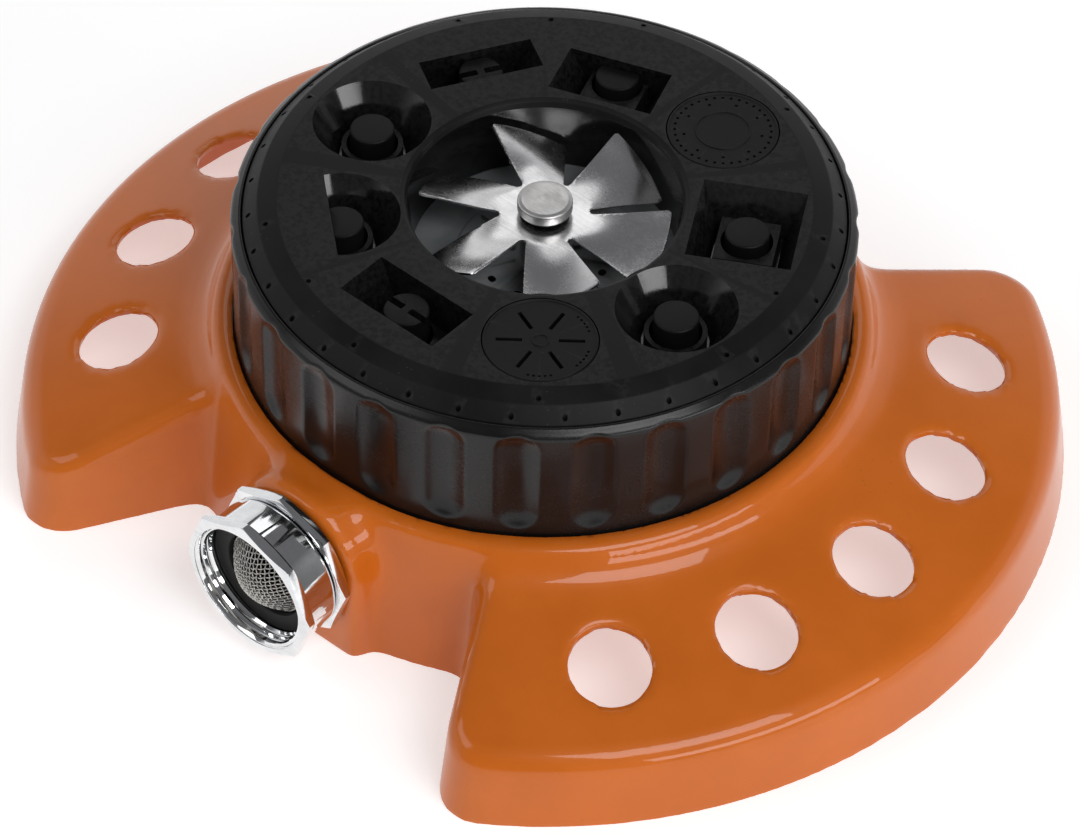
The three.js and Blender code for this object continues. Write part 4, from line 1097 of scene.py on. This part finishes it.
# %% Discs
def disc_blank(name, ring_radius):
    """A flat disc with a thin raised ring, and a shallow groove inside its edge."""
    low, high = ends(name)
    flat = high - 0.18
    profile = [(0, low), (DISC_RADIUS, low), (DISC_RADIUS, high, 0.25), (DISC_RADIUS - 0.45, high, 0.1),
               (DISC_RADIUS - 0.6, flat), (ring_radius + 0.25, flat), (ring_radius + 0.15, high, 0.05),
               (ring_radius - 0.15, high, 0.05), (ring_radius - 0.25, flat), (0, flat)]
    return turned(f"{name}_fine", profile, FACE_BLACK, steps=120), low - 1, high + 1


def mist_disc():
    piece, low, high = disc_blank("mist_disc", 1.6)
    spokes = [ring_of(bar((-0.42, 0.42), (-2.6, 2.6), (low, high), HIDDEN_BLACK), 6, 6.2, 30)]
    arcs = [ring_of(peg("hole", 0.3, low, high, HIDDEN_BLACK, 8), 5, 9.9, start, 6.5)
            for start in (-13, 47, 107)]
    cut(piece, spokes + arcs)
    placed(piece, at_station(DISC_STEPS["mist_disc"] * STATION_STEP))
    return dress(piece, "turret", "black_plastic", "mist_disc")


def shower_disc():
    piece, low, high = disc_blank("shower_disc", 5.6)
    rings = [ring_of(peg("hole", 0.36, low, high, HIDDEN_BLACK, 8), count, radius)
             for count, radius in ((36, 9.9), (9, 8.1))]
    cut(piece, rings)
    placed(piece, at_station(DISC_STEPS["shower_disc"] * STATION_STEP))
    return dress(piece, "turret", "black_plastic", "shower_disc")


mist_disc()
shower_disc()

# %% [markdown]
# ## The fan
# The fan was stamped flat from bright sheet, slotted six times, and each blade was twisted: one edge lifted,
# the other pressed down. It is made here in the same order. The flat outline is filled with well-shaped
# triangles, every point is then lifted by the twist, and the sheet gets its thickness last.

# %% Fan
FAN_TOP = ends("fan_bush")[1] - 0.35
FAN_HUB, FAN_TIP, FAN_SHEET, BLADES = 9.2, 25.7, 0.5, 6
SLOT_START, SLOT_END, SLOT_HALF_WIDTH = 14.0, 9.15, 0.85
BLADE_RISE, BLADE_FALL = 3.2, 5.2
EDGE_LOSS = {"leading": 5.0, "trailing": 15.0}


def polar(r, theta):
    a = math.radians(theta)
    return Vector((r * math.sin(a), -r * math.cos(a)))


def fan_outline():
    """The flat blank, blade by blade: down one side of a slot, round its end, up the other."""
    outline = []
    pitch = 360 / BLADES
    for blade in range(BLADES):
        slot = SLOT_START + blade * pitch
        eye = polar(SLOT_END + SLOT_HALF_WIDTH, slot)
        outward, sideways = eye.normalized(), Vector((-eye.y, eye.x)).normalized()
        leading_tip = polar(FAN_TIP - 0.7, slot - 2.2 - EDGE_LOSS["leading"])
        trailing_tip = polar(FAN_TIP - 0.9, slot + 2.2 + EDGE_LOSS["trailing"])
        arc = []
        for step in range(9):
            swing = math.pi * step / 8
            arc.append(eye - (sideways * math.cos(swing) + outward * math.sin(swing)) * SLOT_HALF_WIDTH)
        outline += [leading_tip.lerp(arc[0], i / 14) for i in range(14)]
        outline += arc
        outline += [arc[-1].lerp(trailing_tip, i / 14) for i in range(1, 15)]
        first, last = slot + 3.6 + EDGE_LOSS["trailing"], slot + pitch - 3.2 - EDGE_LOSS["leading"]
        outline += [polar(FAN_TIP, first + (last - first) * i / 16) for i in range(17)]
    return outline


def twist(point):
    """How far the sheet is lifted at a point of the flat blank."""
    r = point.length
    theta = math.degrees(math.atan2(point.x, -point.y))
    bend = max(0.0, (r - FAN_HUB) / (FAN_TIP - FAN_HUB))
    bend = bend * bend * (3 - 2 * bend) * 0.25 + bend * 0.75
    share = ((theta - SLOT_START) % (360 / BLADES)) / (360 / BLADES)
    first = (2 + EDGE_LOSS["trailing"] * bend) / (360 / BLADES)
    last = 1 - (2 + EDGE_LOSS["leading"] * bend) / (360 / BLADES)
    across = min(max((share - first) / (last - first), 0), 1)
    return bend * (-BLADE_FALL + (BLADE_RISE + BLADE_FALL) * across)


def fan():
    outline = fan_outline()
    bush_hole = [polar(4.2, i * 10) for i in range(36)][::-1]
    spacing = 0.85
    reach = int(FAN_TIP / spacing) + 1
    inner = [Vector(((i + 0.5 * (j % 2)) * spacing, j * spacing * 0.87)) for i in range(-reach, reach + 1)
             for j in range(-reach, reach + 1)]
    count, hole_count = len(outline), len(bush_hole)
    edges = [(i, (i + 1) % count) for i in range(count)]
    edges += [(count + i, count + (i + 1) % hole_count) for i in range(hole_count)]
    flat, _, faces, *_ = delaunay_2d_cdt(outline + bush_hole + inner, edges, [], 1, 1e-5)
    keep = [face for face in faces if sum((flat[i] for i in face), Vector((0, 0))).length / 3 > 4.1]
    points = [(point.x, point.y, FAN_TOP - FAN_SHEET / 2 + twist(point)) for point in flat]
    piece = mesh_piece("fan_blades", points, keep, SHEET)
    work = bmesh.new()
    work.from_mesh(piece.data)
    bmesh.ops.delete(work, geom=[v for v in work.verts if not v.link_faces], context="VERTS")
    bmesh.ops.recalc_face_normals(work, faces=work.faces)
    work.to_mesh(piece.data)
    work.free()
    modifier = piece.modifiers.new("sheet", "SOLIDIFY")
    modifier.thickness = FAN_SHEET * MM
    modifier.offset = 0
    plain_mesh(piece)
    face_outwards(piece)
    broken_edges(piece, 0.1, segments=2, angle=50)
    return dress(piece, "fan", "polished_steel", "fan", sharp=40)


fan()

# %% [markdown]
# ## The fan's axle, bush, washer and jet plate
# These are all turned or turned-looking mouldings: a fat satin rivet with a slightly dished head, a bush that
# grips the sheet, a black washer, and the pale plate whose slanted jets drive the blades.

# %% Axle and plate
PIN_FOOT, PIN_TOP = ends("fan_pin")
PIN_HEAD = reach_of("fan_pin")
PLATE_LOW, PLATE_BOSS = ends("jet_plate")
PLATE_TOP = FACE_TOP - 16.5
PLATE_RADIUS = reach_of("jet_plate")


def fan_pin():
    low, under = PIN_FOOT, PIN_TOP - 2.5
    profile = [(0, low), (3.8, low, 0.3), (3.8, low + 1.6), (2.2, low + 1.6), (2.2, under),
               (PIN_HEAD, under, 0.25), (PIN_HEAD, PIN_TOP - 0.25, 0.5), (PIN_HEAD - 0.9, PIN_TOP, 0.3),
               (1.6, PIN_TOP - 0.06, 0.4), (0, PIN_TOP - 0.16)]
    return dress(turned("fan_rivet", profile, RIVET, 96), "turret", "steel", "fan_pin")


def fan_bush():
    low, high = ends("fan_bush")
    flange = FAN_TOP - FAN_SHEET - 0.3
    profile = [(2.5, low), (3.9, low), (3.9, flange - 1.2), (6.2, flange - 1.2, 0.3), (6.2, flange, 0.2),
               (3.9, flange), (3.9, high, 0.1), (2.5, high)]
    return dress(turned("fan_bush_fine", profile, HIDDEN_BLACK, 72), "fan", "black_plastic", "fan_bush")


def fan_washer():
    low, high = ends("fan_washer")
    profile = [(2.5, low), (5.0, low, 0.1), (5.0, high, 0.1), (2.5, high)]
    washer = turned("fan_washer_fine", profile, HIDDEN_BLACK, 72)
    return dress(washer, "turret", "black_plastic", "fan_washer")


def jet_plate():
    profile = [(2.5, PLATE_LOW), (PLATE_RADIUS, PLATE_LOW), (PLATE_RADIUS, PLATE_TOP), (20.6, PLATE_TOP, 0.3),
               (20.1, PLATE_TOP - 0.6, 0.3), (18.4, PLATE_TOP - 0.6, 0.3), (17.9, PLATE_TOP, 0.3),
               (5.0, PLATE_TOP, 1.2), (5.0, PLATE_BOSS, 0.3), (2.5, PLATE_BOSS)]
    piece = turned("jet_plate_fine", profile, NYLON, 144)
    slanted = placed(peg("jet", 0.8, -4, 4, HIDDEN_BLACK, 12), turn(35, "Y"), shift(z=PLATE_TOP - 0.6))
    ribs = ring_of(bar((-0.5, 0.5), (-5.2, 5.2), (PLATE_TOP - 0.2, PLATE_TOP + 0.7), NYLON), 12, 11.6, 0)
    cut(piece, [ribs], "UNION")
    cut(piece, [ring_of(slanted, 12, 13, 15)])
    broken_edges(piece, 0.12)
    return dress(piece, "turret", "nylon", "jet_plate")


for make in (fan_pin, fan_bush, fan_washer, jet_plate):
    make()

# %% [markdown]
# ## The hose coupling
# A nipple with an octagon flange is screwed into the casting, and a nut with a second octagon spins on it.
# Both octagons have the corners chamfered, as bar stock is before it is cut off. The shape is a prism kept
# only where a turned blank also has metal. A helix swept along the bore gives the hose thread.

# %% Coupling sizes, along the inlet from the turret's axis
OCTAGON = 16.9
CHAMFER, CHAMFER_DEPTH = 1.35, 0.5
NIPPLE_TAIL, NIPPLE_LIP = outwards("inlet_nipple")
NUT_BACK, NUT_FRONT = outwards("swivel_nut")
FLANGE_BACK, FLANGE_FRONT = NUT_BACK - 2.7, NUT_BACK - 0.3
WASHER_FRONT = outwards("hose_washer")[1]


def octagon(back, front, bore, finish):
    angles = [math.radians(2.5 + 45 * i) for i in range(8)]
    corners = [(OCTAGON * math.cos(angle), OCTAGON * math.sin(angle)) for angle in angles]
    piece = prism("octagon", corners, back, front, finish)
    inner = OCTAGON - CHAMFER
    profile = [(bore, back), (inner, back), (OCTAGON, back + CHAMFER_DEPTH), (OCTAGON, front - CHAMFER_DEPTH),
               (inner, front), (bore, front)]
    return cut(piece, [turned("blank", profile, finish, 144)], "INTERSECT")


def inlet_nipple():
    web_front = NUT_BACK + 1.9
    profile = [(6.6, NIPPLE_TAIL), (10.5, NIPPLE_TAIL, 0.3), (10.5, FLANGE_BACK + 0.2),
               (8.9, FLANGE_BACK + 0.2), (8.9, web_front), (11.6, web_front, 0.2), (11.6, NIPPLE_LIP, 0.2), (6.6, NIPPLE_LIP, 0.3)]
    piece = turned("inlet_nipple_fine", profile, CHROME, 96)
    cut(piece, [octagon(FLANGE_BACK, FLANGE_FRONT, 6.6, CHROME)], "UNION")
    broken_edges(piece, 0.14)
    return dress(placed(piece, TO_INLET), "base", "chrome", "inlet_nipple")


def swivel_nut():
    web_front = NUT_BACK + 1.6
    profile = [(9.2, NUT_BACK, 0.2), (15.1, NUT_BACK, 0.8), (15.1, NUT_FRONT - 1), (14.9, NUT_FRONT - 1),
               (14.9, NUT_FRONT - 0.2), (14.2, NUT_FRONT - 0.2, 0.2), (13.8, NUT_FRONT - 0.9),
               (13.8, web_front), (9.2, web_front)]
    piece = turned("swivel_nut_fine", profile, CHROME, 144)
    cut(piece, [octagon(NUT_FRONT - 2.5, NUT_FRONT, 14.35, CHROME)], "UNION")
    broken_edges(piece, 0.14)
    return dress(placed(piece, TO_INLET), "swivel", "chrome", "swivel_nut")


inlet_nipple()
swivel_nut()


# %% [markdown]
# ### A helix
# One recipe sweeps a wire along a spiral. It makes the hose thread and the pivot spring.

# %% A helix, for the thread and for the spring
def helix_tree():
    tree, entry, size = new_tree("helix", ("Radius", "Length", "Turns", "Wire"), ("Sides",))
    spiral = add_node(tree, "GeometryNodeCurveSpiral", {"Resolution": 64})
    for label in ("Start Radius", "End Radius"):
        feed(tree, size["Radius"], spiral.inputs[label])
    feed(tree, size["Length"], spiral.inputs["Height"])
    feed(tree, size["Turns"], spiral.inputs["Rotations"])
    section = add_node(tree, "GeometryNodeCurvePrimitiveCircle", {"Radius": size["Wire"]})
    feed(tree, size["Sides"], section.inputs["Resolution"])
    swept = add_node(tree, "GeometryNodeCurveToMesh", {"Curve": spiral.outputs[0]})
    feed(tree, section.outputs[0], swept.inputs["Profile Curve"])
    swept.inputs["Fill Caps"].default_value = True
    return end_tree(tree, entry, swept.outputs[0])


HELIX = helix_tree()


def helix(name, finish, radius, length, turns, wire, sides):
    piece = mesh_piece(name, [], [], finish)
    run_tree(piece, HELIX, radius=radius * MM, length=length * MM, turns=turns, wire=wire * MM, sides=sides,
             finish=finish)
    return face_outwards(piece)


THREAD_START = WASHER_FRONT + 0.4
thread = helix("hose_thread", CHROME, 13.85, NUT_FRONT - 0.9 - THREAD_START, 2.2, 0.62, 6)
dress(placed(thread, shift(z=THREAD_START), TO_INLET), "swivel", "chrome")

spring_low, spring_high = ends("pivot_spring")
spring = helix("pivot_spring_fine", ZINC, 6.0, spring_high - spring_low - 1.8, 4.0, 0.88, 14)
dress(placed(spring, shift(z=spring_low + 0.9)), "base", "steel", "pivot_spring")

# %% [markdown]
# ## Washer and strainer
# A rubber washer seals the hose. Behind it a dome of woven steel wire keeps grit out. Two recipes weave it: a
# row of straight wires is bent over the dome, and each wire goes over and under the ones that cross it.

# %% Washer and gasket
def flat_ring(name, node, inner, outer, finish, body, slot):
    back, front = outwards(node)
    profile = [(inner, back, 0.15), (outer, back, 0.15), (outer, front, 0.3), (inner, front, 0.3)]
    return dress(placed(turned(name, profile, finish, 96), TO_INLET), body, slot, node)


flat_ring("hose_washer_fine", "hose_washer", 9.7, 13.5, RUBBER, "swivel", "rubber")
flat_ring("nipple_gasket_fine", "nipple_gasket", 10.8, 14.5, RUBBER, "base", "rubber")


# %% [markdown]
# ### The woven dome
# Two crossed layers of bent wires and a rim make the strainer.

# %% Strainer
def weave_tree():
    """Wires along Y, spaced along X, laid over a dome whose axis is Z."""
    tree, entry, size = new_tree("weave", ("Pitch", "Wire", "Radius", "Depth", "Side"), ("Wires", "Steps"))
    half = (size["Wires"] - 1) * 0.5
    columns = add_node(tree, "GeometryNodeMeshLine")
    feed(tree, size["Wires"], columns.inputs["Count"])
    start = add_node(tree, "ShaderNodeCombineXYZ", {0: -(half * size["Pitch"])})
    stride = add_node(tree, "ShaderNodeCombineXYZ", {0: size["Pitch"]})
    feed(tree, start.outputs[0], columns.inputs["Start Location"])
    feed(tree, stride.outputs[0], columns.inputs["Offset"])
    wire = add_node(tree, "GeometryNodeMeshLine")
    feed(tree, size["Steps"], wire.inputs["Count"])
    step = size["Pitch"] * 0.25
    wire_start = add_node(tree, "ShaderNodeCombineXYZ", {1: -(step * (size["Steps"] - 1) * 0.5)})
    wire_stride = add_node(tree, "ShaderNodeCombineXYZ", {1: step})
    feed(tree, wire_start.outputs[0], wire.inputs["Start Location"])
    feed(tree, wire_stride.outputs[0], wire.inputs["Offset"])
    rows = add_node(tree, "GeometryNodeInstanceOnPoints", {"Points": columns.outputs[0]})
    feed(tree, wire.outputs[0], rows.inputs["Instance"])
    real = add_node(tree, "GeometryNodeRealizeInstances", {0: rows.outputs[0]})
    x, y, z = position_fields(tree, 1)
    off_axis = hypot(x, y) / size["Radius"]
    inside = add_node(tree, "GeometryNodeDeleteGeometry", {"Geometry": real.outputs[0]})
    feed(tree, off_axis.math("GREATER_THAN", 1.0), inside.inputs["Selection"])
    dome = (1 - lesser(off_axis, 1).math("POWER", 2.1)) * size["Depth"]
    over = (x * math.pi / size["Pitch"]).math("COSINE") * (y * math.pi / size["Pitch"]).math("COSINE")
    lift = add_node(tree, "ShaderNodeCombineXYZ", {2: dome + over * size["Wire"] * size["Side"]})
    bent = add_node(tree, "GeometryNodeSetPosition", {"Geometry": inside.outputs[0]})
    feed(tree, lift.outputs[0], bent.inputs["Offset"])
    curves = add_node(tree, "GeometryNodeMeshToCurve", {0: bent.outputs[0]})
    section = add_node(tree, "GeometryNodeCurvePrimitiveCircle", {"Resolution": 6, "Radius": size["Wire"]})
    swept = add_node(tree, "GeometryNodeCurveToMesh", {"Curve": curves.outputs[0]})
    feed(tree, section.outputs[0], swept.inputs["Profile Curve"])
    swept.inputs["Fill Caps"].default_value = True
    return end_tree(tree, entry, swept.outputs[0])


SCREEN_BACK, SCREEN_TIP = outwards("strainer_screen")


def strainer():
    tree = weave_tree()
    pitch, wire = 0.84, 0.125
    wires = 23
    layers = []
    for side in (1, -1):
        layer = mesh_piece("wires", [], [], WIRE)
        run_tree(layer, tree, pitch=pitch * MM, wire=wire * MM, radius=9.3 * MM, side=float(side),
                 depth=(SCREEN_TIP - SCREEN_BACK - 2 * wire) * MM, wires=wires, steps=4 * wires - 3,
                 finish=WIRE)
        layers.append(placed(layer, turn(90 if side < 0 else 0)))
    rim = turned("rim", [(8.7, 0, 0.1), (9.4, 0, 0.2), (9.4, 0.5, 0.2), (8.7, 0.5, 0.1)], WIRE, 72)
    piece = joined("strainer_weave", [*layers, rim])
    placed(piece, turn(20), shift(z=SCREEN_BACK + 0.02), TO_INLET)
    return dress(piece, "swivel", "steel", "strainer_screen", sharp=60)


strainer()


# %% [markdown]
# ### A black cup of painted shade
# A black liner with no part of its own in the frame stands in for the shade deep in the bore, so that the wires
# stand out.

# %% Painted shade: a black cup behind the strainer
def painted_shade_cup():
    """A thin black liner in the inlet: painted shade that stands in for the dark of the deep bore, so the wires
    stand against darkness.
    """
    back, front = SCREEN_BACK - 22, SCREEN_BACK - 0.12
    profile = [(0, back), (6.55, back), (6.55, front - 0.15), (9.3, front - 0.15), (9.3, front),
               (6.35, front), (6.35, back + 0.3), (0, back + 0.3)]
    # Painted shade: this black liner darkens the bore, where the real coupling has only shadow.
    return dress(placed(turned("inlet_liner", profile, HIDDEN_BLACK, 72), TO_INLET), "base", "black_plastic")


painted_shade_cup()

# %% [markdown]
# ## Parts that stay as they are
# The rest is inside or underneath, and its frame shape is right already. Each of those parts only needs its
# finish, which goes into the part's own material slot.

# %% Finishes for the hidden parts
HIDDEN_FINISHES = {
    HIDDEN_BLACK: ["turret_body"],
    RUBBER: ["port_seal"],
    NYLON: ["thrust_washer"],
    ZINC: ["click_spring", "click_screw", "turret_screw_1", "turret_screw_2", "turret_screw_3", "pivot_bolt",
           "pivot_washer"],
}
for finish, names in HIDDEN_FINISHES.items():
    for name in names:
        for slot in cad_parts[name].material_slots:
            slot.material = finish
print("hidden parts finished:", sum(len(names) for names in HIDDEN_FINISHES.values()))

# %% [markdown]
# ## Light and floor
# The horizon is bright behind the part and dim on the camera's side, and the ceiling is dark, so the level
# black face mirrors the dark overhead. Four soft boxes light the part: a key and a low panel on the right, a
# weak fill on the left and a faint one at the back. The floor glows a little, to stay near white.

# %% Light, floor and background
def studio_world():
    world = bpy.data.worlds.new("studio")
    bpy.context.scene.world = world
    world.use_nodes = True
    tree = world.node_tree
    direction = add_node(tree, "ShaderNodeTexCoord").outputs["Generated"]
    parts = add_node(tree, "ShaderNodeSeparateXYZ", {0: direction})
    x, y, height = [Field(tree, parts.outputs[i]) for i in range(3)]
    behind = fitted(y * 0.55 - x * 0.83, -0.5, 0.5)
    horizon = behind * 0.72 + 0.16
    dark = fitted(height, 0.38, 0.62)
    band = add_node(tree, "ShaderNodeCombineColor", {0: horizon, 1: horizon, 2: horizon * 1.01})
    mix = add_node(tree, "ShaderNodeMix", {0: dark}, data_type="RGBA")
    feed(tree, band.outputs[0], mix.inputs[6])
    mix.inputs[7].default_value = (0.14, 0.14, 0.147, 1)
    feed(tree, mix.outputs[2], tree.nodes["Background"].inputs["Color"])


def soft_box(name, azimuth, elevation, distance, width, height, power):
    data = bpy.data.lights.new(name, "AREA")
    data.shape = "RECTANGLE"
    data.size, data.size_y = width, height
    data.energy = power
    lamp = bpy.data.objects.new(name, data)
    place = from_angles(azimuth, elevation, distance)
    lamp.matrix_world = Matrix.Translation(place) @ place.to_track_quat("Z", "Y").to_matrix().to_4x4()
    bpy.context.scene.collection.objects.link(lamp)


def floor():
    finish = Finish("pale_floor", IOR=1.4)
    skin = finish.group(GRAIN, Grain=300.0, Blotch=3.0, Specks=50.0)
    body = finish.colour(skin["Blotch"], (0.73, 0.73, 0.73), (0.77, 0.77, 0.77))
    finish.feed(Base_Color=body, Roughness=skin["Grain"] * 0.1 + 0.75, Emission_Color=body)
    finish.shader.inputs["Emission Strength"].default_value = 0.66
    half = 4000
    corners = [(x, y, -0.1) for x, y in ((-half, -half), (half, -half), (half, half), (-half, half))]
    slab = mesh_piece("floor", corners, [(0, 1, 2, 3)], finish.material)


studio_world()
soft_box("key_box", 75, 52, 1.6, 0.9, 0.7, 10.5)
soft_box("fill_box", -35, 48, 1.7, 0.9, 0.7, 4)
soft_box("rear_box", 220, 46, 1.8, 0.8, 0.7, 2.0)
soft_box("low_panel", 84, 17, 1.6, 1.3, 0.3, 7)
floor()
bpy.context.scene.view_settings.view_transform = "Standard"
print("lights:", len(bpy.data.lights))
